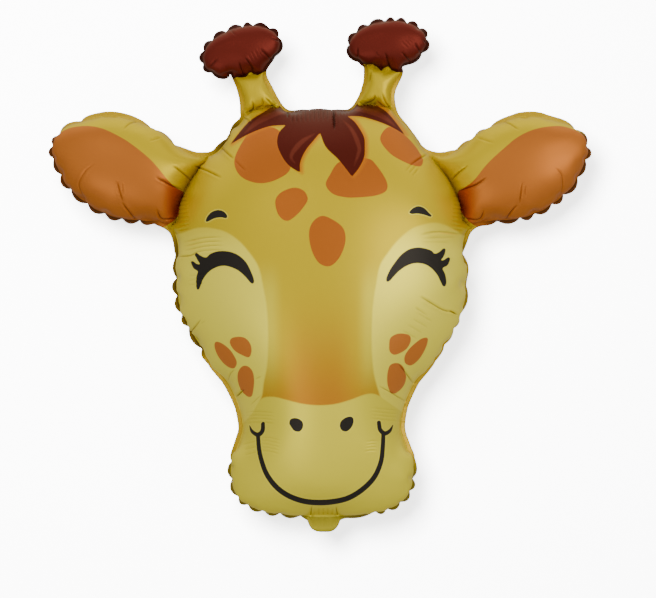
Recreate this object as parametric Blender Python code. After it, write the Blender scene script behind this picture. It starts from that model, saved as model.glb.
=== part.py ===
"""A foil balloon in the shape of a giraffe's head, fully inflated and lying on its back.

Two sheets of film are welded together along one outline and along the roots of the ears and horns,
so the balloon is one sealed piece. A head with its muzzle, two ears, two horn stems and two horn
knobs each swell between their welds. A narrow flat margin of film runs all round, and the flat
filling tail hangs at the chin. +X points to the right of the picture, +Y to the horns, and +Z out
of the printed front. The floor is at z = 0.
"""

import math

import bpy
import numpy as np
from mathutils import Vector
from mathutils.geometry import delaunay_2d_cdt

# Sizes in metres
SPAN = 0.850  # across the two ears
WELD_MARGIN = 0.0080  # flat film outside the weld line
CROSS_WELD = 0.0050  # width of the flat line across the root of an ear or horn
FILM_EDGE = 0.0016  # the two welded sheets, thick enough to be a solid
FLAT_SPOT_DEPTH = 0.0060  # how far the back is pressed flat where it lies on the floor
TAIL_WIDTH = 0.050
TAIL_LENGTH = 0.020  # beyond the weld margin
TAIL_OFFSET = 0.006  # the tail sits a little to the right of the middle
PUCKER_PITCH = 0.036  # along the edge of the head and ears
KNOB_PUCKER_PITCH = 0.026
TAIL_PITCH = 0.016  # finer steps along the tail, which has no puckers
PUCKER_DEPTH = 0.0040  # how far a scallop stands out
PUCKER_LIFT = 0.0040  # how far the edge swings to the front and back
SWELL = 0.85  # the height of the swelling as a share of a round tube's

SCALLOP_MEAN = 1.27  # the lobes' mean height in the formula of a scallop
TAUT_BEND = -0.10  # turn of the edge, in radians, below which it is taut and has no puckers
FULL_BEND = 0.10  # turn above which it puckers fully
ROW_DEPTH_SHARE = 0.8  # how much of a scallop the first row inside the weld still follows
ROW_LIFT_SHARE = 0.5

# Spacing of the mesh, in metres
ROW_INSETS = (0.010, 0.024, 0.043)  # rows of points inside the weld line
ROW_STRIDES = (1, 2, 3)  # each row keeps every so many of the edge's points
INNER_STEP = 0.034
POINTS_PER_PUCKER = 4

# The outline is drawn in millimetres for a balloon 850 mm across, then scaled to SPAN
DRAWN_SPAN = 850.0

# The cut edge of the left half, from the crown down to the chin. The right half mirrors it.
CROWN = [(0, 256), (-26, 257)]
SHOULDER = [(-137, 232), (-150, 215), (-164, 197)]
EAR = [
    (-177, 191), (-192, 190), (-212, 197), (-232, 211), (-253, 226), (-275, 238), (-302, 250),
    (-338, 253), (-375, 243), (-403, 230), (-420, 210), (-424, 190), (-412, 164), (-397, 138),
    (-377, 118), (-350, 99), (-317, 86), (-281, 80), (-250, 76),
]
CHEEK = [
    (-237, 66), (-230, 48), (-229, 29), (-230, 5), (-230, -18), (-225, -49), (-212, -80),
    (-194, -112), (-174, -143), (-150, -174), (-136, -205), (-131, -229), (-131, -243),
]
MUZZLE = [
    (-138, -268), (-145, -290), (-146, -308), (-143, -330), (-135, -348), (-120, -364),
    (-99, -373), (-70, -380), (-35, -383), (0, -384),
]
FACE_SHIFT = 3  # the face below the ears sits this far to the right of the ears' middle
EAR_ROOT = [(-175, 179), (-190, 161), (-206, 137), (-218, 111), (-224, 82)]

# The horns aren't alike, because the soft foil leans as it likes. Each one has the right and left
# ends of its foot, the middle of its neck, the halves of its width, and its knob's ellipse.
HORNS = [
    {"foot": ((-51, 257), (-127, 246)), "neck": (-112, 310), "middle_half": 29, "neck_half": 27,
     "knob": (-122, 347), "knob_axes": (66, 42), "knob_tilt": 14},
    {"foot": ((121, 254), (47, 259)), "neck": (102, 317), "middle_half": 28, "neck_half": 29,
     "knob": (106, 359), "knob_axes": (67, 42), "knob_tilt": 6},
]
KNOB_POINTS = 14
KNOB_GAP_DEG = 38  # half the part of the knob's ellipse that the neck takes
HORN_ROOT_RISE = 3  # how far the weld across a horn's foot bows up
NECK_SAG = 5  # how far the weld across a horn's neck bows down

SHARE = SPAN / DRAWN_SPAN  # metres for each drawn millimetre


def horn_outline(horn):
    """The horn's cut edge, up its right side, round the knob and down its left side."""
    right_foot, left_foot = (np.array(p, float) for p in horn["foot"])
    neck, knob = np.array(horn["neck"], float), np.array(horn["knob"], float)
    middle = (right_foot + left_foot + 2 * neck) / 4
    axis = (neck - middle) / np.linalg.norm(neck - middle)
    across = np.array([axis[1], -axis[0]])
    tilt = math.radians(horn["knob_tilt"])
    long_axis = np.array([math.cos(tilt), math.sin(tilt)])
    short_axis = np.array([-math.sin(tilt), math.cos(tilt)])
    a, b = horn["knob_axes"]
    to_neck = neck - knob
    neck_angle = math.atan2(to_neck @ short_axis / b, to_neck @ long_axis / a)
    gap = math.radians(KNOB_GAP_DEG)
    turns = np.linspace(neck_angle + gap, neck_angle + 2 * math.pi - gap, KNOB_POINTS)
    round_knob = [knob + a * math.cos(t) * long_axis + b * math.sin(t) * short_axis for t in turns]
    going_up = [right_foot, middle + across * horn["middle_half"], neck + across * horn["neck_half"]]
    going_down = [neck - across * horn["neck_half"], middle - across * horn["middle_half"], left_foot]
    return going_up + round_knob + going_down


def drawn_outline():
    """Points of the whole cut edge, anticlockwise from the middle of the crown."""
    left_edge = SHOULDER + EAR + CHEEK + MUZZLE
    right_edge = [(-x, y) for x, y in reversed(left_edge[:-1])]
    crown_right = [(-x, y) for x, y in reversed(CROWN[1:])]
    left_horn, right_horn = (horn_outline(horn) for horn in HORNS)
    points = CROWN + left_horn + left_edge + right_edge + right_horn + crown_right
    points = np.array([(float(p[0]), float(p[1])) for p in points])
    below_ears = np.clip((EAR[-1][1] - points[:, 1]) / EAR[-1][1], 0, 1)
    points[:, 0] += FACE_SHIFT * below_ears
    return points * SHARE


def smooth_closed(points, per_span=24):
    """A closed curve through the points, with many short steps."""
    before, after, beyond = np.roll(points, 1, 0), np.roll(points, -1, 0), np.roll(points, -2, 0)
    curve = []
    for p0, p1, p2, p3 in zip(before, points, after, beyond):
        k0, k1, k2 = (np.sqrt(np.linalg.norm(q - p)) for p, q in ((p0, p1), (p1, p2), (p2, p3)))
        leave = (p2 - p1) + k1 * ((p1 - p0) / k0 - (p2 - p0) / (k0 + k1))
        arrive = (p2 - p1) + k1 * ((p3 - p2) / k2 - (p3 - p1) / (k1 + k2))
        t = (np.arange(per_span) / per_span)[:, None]
        curve.append(
            (2 * t**3 - 3 * t**2 + 1) * p1 + (t**3 - 2 * t**2 + t) * leave
            + (3 * t**2 - 2 * t**3) * p2 + (t**3 - t**2) * arrive
        )
    return np.concatenate(curve)


def near_knobs(points):
    """True where a point of the edge is on a horn's knob."""
    found = np.zeros(len(points), bool)
    for horn in HORNS:
        reach = 1.2 * horn["knob_axes"][0] * SHARE
        above = points[:, 1] > (horn["neck"][1] - NECK_SAG) * SHARE
        found |= above & (np.linalg.norm(points - np.array(horn["knob"]) * SHARE, axis=1) < reach)
    return found


def near_tail(points):
    """True where a point of the edge is on the tail or close beside it."""
    return (points[:, 1] < 0) & (np.abs(points[:, 0] - TAIL_OFFSET) < 0.75 * TAIL_WIDTH)


def puckered_steps(curve):
    """The curve again with a set number of points to each pucker, and each point's phase."""
    lengths = np.linalg.norm(np.roll(curve, -1, 0) - curve, axis=1)
    pitch = np.where(near_knobs(curve), KNOB_PUCKER_PITCH, PUCKER_PITCH)
    pitch = np.where(near_tail(curve), TAIL_PITCH, pitch)
    turns = np.concatenate([[0], np.cumsum(lengths / pitch)])
    count = max(int(round(turns[-1])), 8)
    wanted = np.arange(count * POINTS_PER_PUCKER) / POINTS_PER_PUCKER * turns[-1] / count
    closed = np.vstack([curve, curve[:1]])
    points = np.stack([np.interp(wanted, turns, closed[:, i]) for i in (0, 1)], axis=1)
    phase = 2 * math.pi * np.arange(len(points)) / POINTS_PER_PUCKER
    return points, phase


def right_sides(along):
    """Unit vectors to the right of each direction: outward, on an anticlockwise curve."""
    sides = np.stack([along[:, 1], -along[:, 0]], axis=1)
    return sides / np.linalg.norm(sides, axis=1)[:, None]


def outward(points):
    return right_sides(np.roll(points, -1, 0) - np.roll(points, 1, 0))


def pucker_strength(edge):
    """1 where the edge is convex enough to pucker, falling to 0 where it is hollow and taut."""
    reach = POINTS_PER_PUCKER
    back, ahead = edge - np.roll(edge, reach, 0), np.roll(edge, -reach, 0) - edge
    turned = back[:, 0] * ahead[:, 1] - back[:, 1] * ahead[:, 0]
    bend = turned / (np.linalg.norm(back, axis=1) * np.linalg.norm(ahead, axis=1))
    window = np.ones(2 * reach + 1) / (2 * reach + 1)
    bend = np.convolve(np.concatenate([bend[-reach:], bend, bend[:reach]]), window, "valid")
    share = np.clip((bend - TAUT_BEND) / (FULL_BEND - TAUT_BEND), 0, 1)
    smooth = share * share * (3 - 2 * share)
    return np.where(near_tail(edge), 0, smooth)


def tail_reach(edge):
    """How far the tail carries each point of the edge down."""
    across = (edge[:, 0] - TAIL_OFFSET) / (TAIL_WIDTH / 2)
    reach = TAIL_LENGTH * np.sqrt(np.clip(1 - np.abs(across) ** 6, 0, 1))
    return np.where(edge[:, 1] < 0, reach, 0)


def bowed(line):
    """A line of a few points as an even run of short steps on a smooth curve."""
    t = np.linspace(0, 1, len(line))
    fine = np.linspace(0, 1, 101)
    fit = [np.polyval(np.polyfit(t, line[:, i], min(len(line) - 1, 3)), fine) for i in (0, 1)]
    fit = np.stack(fit, axis=1)
    run = np.concatenate([[0], np.cumsum(np.linalg.norm(np.diff(fit, axis=0), axis=1))])
    steps = np.linspace(0, run[-1], max(int(run[-1] * POINTS_PER_PUCKER / PUCKER_PITCH), 3) + 1)
    return np.stack([np.interp(steps, run, fit[:, i]) for i in (0, 1)], axis=1)


def root_lines():
    """The middle lines of the welds across the ears' roots, the horns' feet and the knobs' necks."""
    lines = [np.array(EAR_ROOT, float), np.array([(-x, y) for x, y in EAR_ROOT], float)]
    for horn in HORNS:
        right, left = (np.array(p, float) for p in horn["foot"])
        middle = (right + left) / 2 + (0, HORN_ROOT_RISE)
        lines.append(np.array([right, middle, left]))
        neck = np.array(horn["neck"], float)
        axis = np.array(horn["knob"]) - neck
        axis /= np.linalg.norm(axis)
        across = np.array([axis[1], -axis[0]]) * horn["neck_half"]
        lines.append(np.array([neck + across, neck - NECK_SAG * axis, neck - across]))
    return [bowed(line * SHARE) for line in lines]


def beside_roots(roots, distance):
    """The lines that run along both sides of each cross weld, at a distance from its middle."""
    sides = []
    for line in roots:
        across = right_sides(np.gradient(line, axis=0))
        sides += [line - across * distance, line + across * distance]
    return sides


def distance_to(points, curve, closed=True):
    """Distance from each point to a run of straight segments."""
    start = curve if closed else curve[:-1]
    end = np.roll(curve, -1, 0) if closed else curve[1:]
    span = end - start
    offset = points[:, None, :] - start[None]
    t = np.clip((offset * span).sum(2) / np.maximum((span**2).sum(1), 1e-18), 0, 1)
    return np.linalg.norm(offset - t[..., None] * span, axis=2).min(1)


def inside(points, curve):
    """True for each point inside the closed curve."""
    x, y = points[:, :1], points[:, 1:]
    x0, y0 = curve[:, 0], curve[:, 1]
    x1, y1 = np.roll(x0, -1), np.roll(y0, -1)
    crosses = (y0 > y) != (y1 > y)
    level = np.where(crosses, y1 - y0, 1)
    return (crosses & (x < (x1 - x0) * (y - y0) / level + x0)).sum(1) % 2 == 1


def thin_out(candidates, gap, kept):
    """Adds to kept each candidate that keeps the gap to all the points before it."""
    for point in candidates:
        if ((kept - point) ** 2).sum(1).min() >= gap * gap:
            kept = np.vstack([kept, point])
    return kept


def triangular_grid(low, high):
    rise = INNER_STEP * math.sqrt(0.75)
    grid = []
    for row, y in enumerate(np.arange(low[1], high[1], rise)):
        for x in np.arange(low[0] + (row % 2) * INNER_STEP / 2, high[0], INNER_STEP):
            grid.append((x, y))
    return np.array(grid)


def fill_points(weld, roots, welded):
    """Adds to the welded points those of the swelling film: rows along each weld, then a grid."""
    def clearance(points):
        near = distance_to(points, weld)
        for line in roots:
            near = np.minimum(near, distance_to(points, line, closed=False) - CROSS_WELD / 2)
        return near

    kept = welded
    normals = outward(weld)
    for inset, stride in zip(ROW_INSETS, ROW_STRIDES):
        rows = [weld - normals * inset] + beside_roots(roots, CROSS_WELD / 2 + inset)
        row = np.vstack([line[::stride] for line in rows])
        good = inside(row, weld) & (clearance(row) > 0.8 * inset)
        step = stride * PUCKER_PITCH / POINTS_PER_PUCKER
        kept = thin_out(row[good], 0.6 * min(step, inset + CROSS_WELD), kept)
    grid = triangular_grid(weld.min(0), weld.max(0))
    good = inside(grid, weld) & (clearance(grid) > ROW_INSETS[-1] + 0.3 * INNER_STEP)
    return thin_out(grid[good], 0.62 * INNER_STEP, kept)


def flat_pattern(edge):
    """The film laid flat: its points, its triangles, which points are welded, and where each
    point of the cut edge and then of the weld line is found among them."""
    weld = edge - outward(edge) * WELD_MARGIN
    cut = edge - np.stack([np.zeros(len(edge)), tail_reach(edge)], axis=1)
    roots = root_lines()
    strips = []
    for side in beside_roots(roots, CROSS_WELD / 2):
        strips.append(side[inside(side, weld) & (distance_to(side, weld) > 0.8 * CROSS_WELD)])
    welded = np.vstack([cut, weld] + strips)
    points = fill_points(weld, roots, welded)
    links = []
    for first in (0, len(edge)):
        links += [(first + k, first + (k + 1) % len(edge)) for k in range(len(edge))]
    first = 2 * len(edge)
    for strip in strips:
        links += [(first + k, first + k + 1) for k in range(len(strip) - 1)]
        first += len(strip)
    made = delaunay_2d_cdt([Vector(p) for p in points], links, [], 1, 1e-6)
    # A point that the triangulation adds, where two welds cross, is welded too
    source = np.array([old[0] if old else len(cut) for old in made[3]])
    found = np.full(2 * len(edge), -1)
    for place, old in enumerate(made[3]):
        for point in old:
            if point < len(found):
                found[point] = place
    return np.array([tuple(p) for p in made[0]]), np.array(made[2]), source < len(welded), found


def swelling(points, triangles, welded):
    """How high the film stands over its weld at each point: the square root of a soap film's
    deflection, which is a round section in a long tube and a lens in a round bag."""
    p = points[triangles]
    stiffness = np.zeros((len(points), len(points)))
    load = np.zeros(len(points))
    edges = np.stack([p[:, 2] - p[:, 1], p[:, 0] - p[:, 2], p[:, 1] - p[:, 0]], axis=1)
    area = 0.5 * np.abs(edges[:, 0, 0] * edges[:, 1, 1] - edges[:, 0, 1] * edges[:, 1, 0])
    for i in range(3):
        np.add.at(load, triangles[:, i], area / 3)
        for j in range(3):
            value = (edges[:, i] * edges[:, j]).sum(1) / (4 * np.maximum(area, 1e-12))
            np.add.at(stiffness, (triangles[:, i], triangles[:, j]), value)
    free = np.nonzero(~welded)[0]
    deflection = np.zeros(len(points))
    deflection[free] = np.linalg.solve(stiffness[np.ix_(free, free)], load[free])
    return SWELL * np.sqrt(2 * np.maximum(deflection, 0))


def puckers(points, welded, found, edge, phase):
    """How far the scalloped edge, and the film beside it, moves in the picture and out of it."""
    strength = pucker_strength(edge)
    # Each scallop is a round lobe between two sharp valleys
    lobes = strength * PUCKER_DEPTH * (2 * np.abs(np.cos(phase / 2)) - SCALLOP_MEAN)
    out = outward(edge) * lobes[:, None]
    lift = strength * PUCKER_LIFT * np.cos(phase)
    moved, lifted = np.zeros((len(points), 2)), np.zeros(len(points))
    moved[found] = np.vstack([out, out])
    lifted[found] = np.concatenate([lift, lift])
    weld = points[found[len(edge):]]
    beside = np.nonzero(~welded & (distance_to(points, weld) < 1.15 * ROW_INSETS[0]))[0]
    nearest = ((points[beside][:, None] - weld[None]) ** 2).sum(2).argmin(1)
    moved[beside] = ROW_DEPTH_SHARE * out[nearest]
    lifted[beside] = ROW_LIFT_SHARE * lift[nearest]
    return moved, lifted


def balloon_mesh():
    """Points and triangles of the whole balloon, standing on the floor about its middle."""
    edge, phase = puckered_steps(smooth_closed(drawn_outline()))
    points, triangles, welded, found = flat_pattern(edge)
    height = swelling(points, triangles, welded)
    moved, lifted = puckers(points, welded, found, edge, phase)
    plane = points + moved
    seam = height.max() + FILM_EDGE / 2 - FLAT_SPOT_DEPTH
    front = np.column_stack([plane, seam + lifted + FILM_EDGE / 2 + height])
    back = np.column_stack([plane, seam + lifted - FILM_EDGE / 2 - height])
    back[:, 2] = np.maximum(back[:, 2], 0)
    count = len(points)
    faces = triangles.tolist()
    faces += (triangles[:, ::-1] + count).tolist()
    rim = found[: len(edge)].tolist()
    for a, b in zip(rim, rim[1:] + rim[:1]):
        faces += [[a, a + count, b + count], [a, b + count, b]]
    shape = np.vstack([front, back])
    shape[:, :2] -= (shape[:, :2].min(0) + shape[:, :2].max(0)) / 2
    return shape, faces


def film_material():
    material = bpy.data.materials.new("printed_film")
    material.use_nodes = True
    shader = material.node_tree.nodes["Principled BSDF"]
    shader.inputs["Base Color"].default_value = (0.53, 0.39, 0.06, 1)
    shader.inputs["Roughness"].default_value = 0.34
    shader.inputs["Metallic"].default_value = 0.25
    return material


def main():
    for thing in list(bpy.data.objects):
        bpy.data.objects.remove(thing)
    points, faces = balloon_mesh()
    mesh = bpy.data.meshes.new("balloon")
    mesh.from_pydata(points.tolist(), [], faces)
    mesh.materials.append(film_material())
    mesh.shade_smooth()
    mesh.set_sharp_from_angle(angle=math.radians(60))
    balloon = bpy.data.objects.new("balloon", mesh)
    bpy.context.scene.collection.objects.link(balloon)


main()
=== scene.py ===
import math
import bpy
import numpy as np
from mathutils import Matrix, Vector
from mathutils.bvhtree import BVHTree
from mathutils.geometry import delaunay_2d_cdt


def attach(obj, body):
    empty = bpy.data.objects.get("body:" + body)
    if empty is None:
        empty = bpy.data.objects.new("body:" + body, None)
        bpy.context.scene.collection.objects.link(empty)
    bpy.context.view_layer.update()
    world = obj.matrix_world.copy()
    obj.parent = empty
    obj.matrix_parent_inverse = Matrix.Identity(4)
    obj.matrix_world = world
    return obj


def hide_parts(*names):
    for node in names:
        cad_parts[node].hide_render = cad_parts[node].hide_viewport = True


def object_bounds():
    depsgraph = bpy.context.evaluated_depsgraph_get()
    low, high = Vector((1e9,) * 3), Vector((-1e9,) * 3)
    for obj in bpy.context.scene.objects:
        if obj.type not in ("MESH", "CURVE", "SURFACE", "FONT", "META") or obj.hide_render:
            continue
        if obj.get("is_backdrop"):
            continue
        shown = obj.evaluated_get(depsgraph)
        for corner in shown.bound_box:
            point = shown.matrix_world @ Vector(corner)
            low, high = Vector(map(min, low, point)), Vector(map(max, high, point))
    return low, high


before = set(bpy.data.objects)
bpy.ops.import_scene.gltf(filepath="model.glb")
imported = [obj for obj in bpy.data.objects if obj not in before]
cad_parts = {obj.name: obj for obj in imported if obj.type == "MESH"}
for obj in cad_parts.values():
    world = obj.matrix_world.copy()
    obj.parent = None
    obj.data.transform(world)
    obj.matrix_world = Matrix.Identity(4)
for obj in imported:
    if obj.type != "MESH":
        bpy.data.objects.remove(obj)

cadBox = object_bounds()
mm = 0.001
seamHeight = 0.14085
view = {"place": (0.0125, -0.04, 3.9), "width": 1.025}  # the picture's width at the seam's height

# The cut edge is drawn in millimetres on the picture's plane, x to the right and y up.
# The left half runs from the crown down to the chin, and the right half mirrors it.
outline = {
    "crown": [(0, 256), (-26, 257)],
    "shoulder": [(-137, 232), (-150, 215), (-164, 197)],
    "ear": [
        (-177, 191), (-192, 190), (-212, 197), (-232, 211), (-253, 226), (-275, 238), (-302, 250),
        (-338, 253), (-375, 243), (-403, 230), (-420, 210), (-425, 189), (-415, 161), (-401, 134),
        (-380, 113.5), (-352, 94), (-318, 81), (-281.5, 76), (-250, 73)],
    "cheek": [
        (-237, 65), (-230, 48), (-229.5, 29), (-232, 5), (-233, -18), (-228.5, -49), (-215.5, -80),
        (-197.5, -112), (-177, -143), (-152.5, -174), (-137.5, -205), (-131.5, -229), (-131, -243)],
    "muzzle": [
        (-138.5, -268), (-147, -290), (-148.5, -308), (-146, -330), (-139, -348), (-124, -364),
        (-102, -374), (-71, -381), (-35, -384), (0, -384)],
    # How far the face sits to the right, by height
    "faceShift": [(-300, 3.5), (-240, 2.5), (-150, 1), (0, 1), (76, 0)],
    "knobPoints": 14,
    "knobGap": 29,         # degrees of the knob's ellipse, each way, that the neck takes
    "margin": 8,           # flat film outside the weld
    "tailWidth": 50,
    "tailLength": 20,
    "tailOffset": 6,
    "tailRound": 3,        # a higher power makes the tail's tip squarer
    "tailFlare": (0.22, 1.5, 0.6),  # how deep and how far out its sides flare into the chin
}
horns = [
    {"foot": ((-51, 257), (-127, 246)), "neck": ((-83.5, 315), (-139.5, 307)), "middleHalf": 28,
     "knob": (-123.5, 348.5), "knobAxes": (68, 42.5), "knobTilt": 17},
    {"foot": ((121, 254), (47, 259)), "neck": ((131.5, 315), (68, 326)), "middleHalf": 26.5,
     "knob": (106, 359), "knobAxes": (67, 42), "knobTilt": 6},
]
crossWelds = {
    "earRoot": [(-175, 179), (-190, 161), (-206, 137), (-218, 111), (-224, 82)],
    "hornRise": 6,         # how far the weld across a horn's foot bows up
}
film = {
    "swell": 0.85,         # height of the swelling as a share of a round tube's
    "ringStep": 2.7,       # spacing of the points along the weld
    "step": 6.2,           # spacing of the points in the film
    "coarseStep": 7,
    "outlineSteps": 24,    # points from one drawn point of the outline to the next
    "spread": 0.57,        # how far the flat film reaches past the inflated outline
    "hollow": 1.6,         # how strongly that reach is held back in a hollow of the outline
    "tightest": 0.1,       # cosine of the sharpest corner that the weld can turn
    "edgeGap": 0.55,       # the least room between the seam and the film's own points, in steps
    "cutGap": 0.7,         # the same for a cross weld's points, in steps of the ring
    "thickness": 0.3,
    "marginRows": 2,
    "knobsFrom": 330,      # a chamber whose middle is higher than this is a knob
}


def lengthsOf(rows):
    return np.linalg.norm(rows, axis=1)


def unitRows(rows):
    return rows / np.maximum(lengthsOf(rows), 1e-12)[:, None]


def runAlong(lengths):
    # How far along a line each of its points lies
    return np.concatenate([[0], np.cumsum(lengths)])


def atSteps(curve, run, steps):
    return np.stack([np.interp(steps, run, column) for column in curve.T], axis=1)


def toNext(ring):
    return np.roll(ring, -1, 0) - ring


def chords(ring):
    # From the point before each point to the one after it
    return np.roll(ring, -1, 0) - np.roll(ring, 1, 0)


def outward(ring):
    along = chords(ring)
    return unitRows(np.stack([along[:, 1], -along[:, 0]], axis=1))


def smoothAround(values, reach, rounds=2):
    # Running mean round a closed ring
    window = np.ones(2 * reach + 1) / (2 * reach + 1)
    flat = values.reshape(len(values), -1)
    for _ in range(rounds):
        padded = np.concatenate([flat[-reach:], flat, flat[:reach]])
        flat = np.stack([np.convolve(column, window, "valid") for column in padded.T], axis=1)
    return flat.reshape(values.shape)


def sumBy(ids, rows, count):
    # Adds up the rows that share an id
    return np.stack([np.bincount(ids, column, count) for column in rows.T], axis=1)


def neighbourSum(x, a, b):
    return sumBy(a, x[b], len(x)) + sumBy(b, x[a], len(x))


def sidesOf(triangles):
    pairs = [triangles[:, [0, 1]], triangles[:, [1, 2]], triangles[:, [2, 0]]]
    return np.sort(np.vstack(pairs), axis=1)


def pointNormals(x, triangles):
    p = x[triangles]
    normals = np.cross(p[:, 1] - p[:, 0], p[:, 2] - p[:, 0])
    return sumBy(triangles.ravel(), np.repeat(normals, 3, axis=0), len(x))


def stretches(points, line, run):
    # For each stretch of a line: every point's distance to it, and how far along its nearest place is
    for start, end, r0, r1 in zip(line, line[1:], run, run[1:]):
        span, offset = end - start, points - start
        t = np.clip(offset @ span / max(span @ span, 1e-12), 0, 1)
        yield lengthsOf(offset - t[:, None] * span), r0 + t * (r1 - r0)


def distanceTo(points, loop):
    best = np.full(len(points), np.inf)
    for away, _ in stretches(points, np.vstack([loop, loop[:1]]), range(len(loop) + 1)):
        best = np.minimum(best, away)
    return best


def inside(points, loop):
    x, y = points.T
    odd = np.zeros(len(points), bool)
    for (x0, y0), (x1, y1) in zip(loop, np.roll(loop, -1, 0)):
        if y0 != y1:
            odd ^= ((y0 > y) != (y1 > y)) & (x < (x1 - x0) * (y - y0) / (y1 - y0) + x0)
    return odd


def smoothShape(points, tips=(), steps=6):
    # A closed smooth outline that keeps its tips sharp
    points = [tuple(p) for p in points]
    count = len(points)
    t = (np.arange(steps) / steps)[:, None]
    curve = []
    for k in range(count):
        p0, p1, p2, p3 = (np.array(points[(k + d) % count], float) for d in (-1, 0, 1, 2))
        if points[k] in tips:
            p0 = 2 * p1 - p2
        if points[(k + 1) % count] in tips:
            p3 = 2 * p2 - p1
        k0, k1, k2 = (np.sqrt(np.linalg.norm(q - p)) for p, q in ((p0, p1), (p1, p2), (p2, p3)))
        leave = (p2 - p1) + k1 * ((p1 - p0) / k0 - (p2 - p0) / (k0 + k1))
        arrive = (p2 - p1) + k1 * ((p3 - p2) / k2 - (p3 - p1) / (k1 + k2))
        curve.append((2 * t**3 - 3 * t**2 + 1) * p1 + (t**3 - 2 * t**2 + t) * leave
                     + (3 * t**2 - 2 * t**3) * p2 + (t**3 - t**2) * arrive)
    return np.concatenate(curve)


def smoothLine(points, steps=6):
    points = np.array(points, float)
    padded = np.vstack([2 * points[0] - points[1], points, 2 * points[-1] - points[-2]])
    t = (np.arange(steps) / steps)[:, None]
    curve = [0.5 * ((2 * p1) + (p2 - p0) * t + (2 * p0 - 5 * p1 + 4 * p2 - p3) * t**2
                    + (3 * p1 - p0 - 3 * p2 + p3) * t**3)
             for p0, p1, p2, p3 in zip(padded, padded[1:], padded[2:], padded[3:])]
    return np.vstack(curve + [points[-1:]])


def hornOutline(horn):
    ends = horn["foot"] + horn["neck"]
    rightFoot, leftFoot, rightNeck, leftNeck = (np.array(p, float) for p in ends)
    neck, knob = (rightNeck + leftNeck) / 2, np.array(horn["knob"], float)
    middle = (rightFoot + leftFoot + 2 * neck) / 4
    axis = (neck - middle) / np.linalg.norm(neck - middle)
    across = np.array([axis[1], -axis[0]])
    tilt = math.radians(horn["knobTilt"])
    longAxis = np.array([math.cos(tilt), math.sin(tilt)])
    shortAxis = np.array([-math.sin(tilt), math.cos(tilt)])
    a, b = horn["knobAxes"]
    toNeck = neck - knob
    neckAngle = math.atan2(toNeck @ shortAxis / b, toNeck @ longAxis / a)
    gap = math.radians(outline["knobGap"])
    turns = np.linspace(neckAngle + gap, neckAngle + 2 * math.pi - gap, outline["knobPoints"])
    roundKnob = [knob + a * math.cos(t) * longAxis + b * math.sin(t) * shortAxis for t in turns]
    goingUp = [rightFoot, middle + across * horn["middleHalf"], rightNeck]
    goingDown = [leftNeck, middle - across * horn["middleHalf"], leftFoot]
    return goingUp + roundKnob + goingDown


def drawnOutline():
    leftEdge = outline["shoulder"] + outline["ear"] + outline["cheek"] + outline["muzzle"]
    rightEdge = [(-x, y) for x, y in reversed(leftEdge[:-1])]
    crownRight = [(-x, y) for x, y in reversed(outline["crown"][1:])]
    leftHorn, rightHorn = (hornOutline(horn) for horn in horns)
    points = outline["crown"] + leftHorn + leftEdge + rightEdge + rightHorn + crownRight
    points = np.array([(float(x), float(y)) for x, y in points])
    points[:, 0] += np.interp(points[:, 1], *np.transpose(outline["faceShift"]))
    return points * mm


def weldRing():
    # The weld line with even steps, and the cut edge's point beside each of its points
    cut = smoothShape(drawnOutline(), (), film["outlineSteps"])
    shows = np.array([margins[seamPlace(p)]["shows"] for p in cut], float)
    weld = cut - outward(cut) * smoothAround(shows, 24)[:, None] * mm
    run = runAlong(lengthsOf(toNext(weld)))
    count = int(round(run[-1] / (film["ringStep"] * mm)))
    wanted = np.arange(count) * run[-1] / count
    weld, cut = (atSteps(np.vstack([curve, curve[:1]]), run, wanted) for curve in (weld, cut))
    for _ in range(60):
        # A corner that is too tight for the weld is rounded
        arriving, leaving = np.roll(toNext(weld), 1, 0), toNext(weld)
        cosine = (arriving * leaving).sum(1) / (lengthsOf(arriving) * lengthsOf(leaving))
        tight = cosine < film["tightest"]
        if not tight.any():
            break
        near = smoothAround(tight.astype(float), 3, 1) > 1e-9
        weld = np.where(near[:, None], smoothAround(weld, 1, 1), weld)
    across = np.abs(cut[:, 0] / mm - outline["tailOffset"]) / (outline["tailWidth"] / 2)
    tip = np.sqrt(np.clip(1 - across ** outline["tailRound"], 0, 1))
    deep, start, wide = outline["tailFlare"]
    flare = deep * np.clip((start - across) / wide, 0, 1) ** 2
    reach = outline["tailLength"] * mm * np.maximum(tip, flare)
    cut[:, 1] -= np.where(cut[:, 1] < 0, reach, 0)
    return weld, cut


def bowed(line, step):
    # A smooth bow through a few points, in even steps
    line = np.array(line, float) * mm
    t, fine = np.linspace(0, 1, len(line)), np.linspace(0, 1, 101)
    order = min(len(line) - 1, 3)
    bow = np.stack([np.polyval(np.polyfit(t, column, order), fine) for column in line.T], axis=1)
    run = runAlong(lengthsOf(np.diff(bow, axis=0)))
    return atSteps(bow, run, np.linspace(0, run[-1], int(run[-1] / (step * mm)) + 1))


def rootLines():
    # Right end first, as the ring runs
    root = crossWelds["earRoot"]
    lines = [root, [(-x, y) for x, y in reversed(root)]]
    for horn in horns:
        for place, rise in (("foot", crossWelds["hornRise"]), ("neck", 0)):
            right, left = (np.array(p, float) for p in horn[place])
            lines.append([right, (right + left) / 2 + (0, rise), left])
    return [bowed(line, film["ringStep"]) for line in lines]


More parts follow.
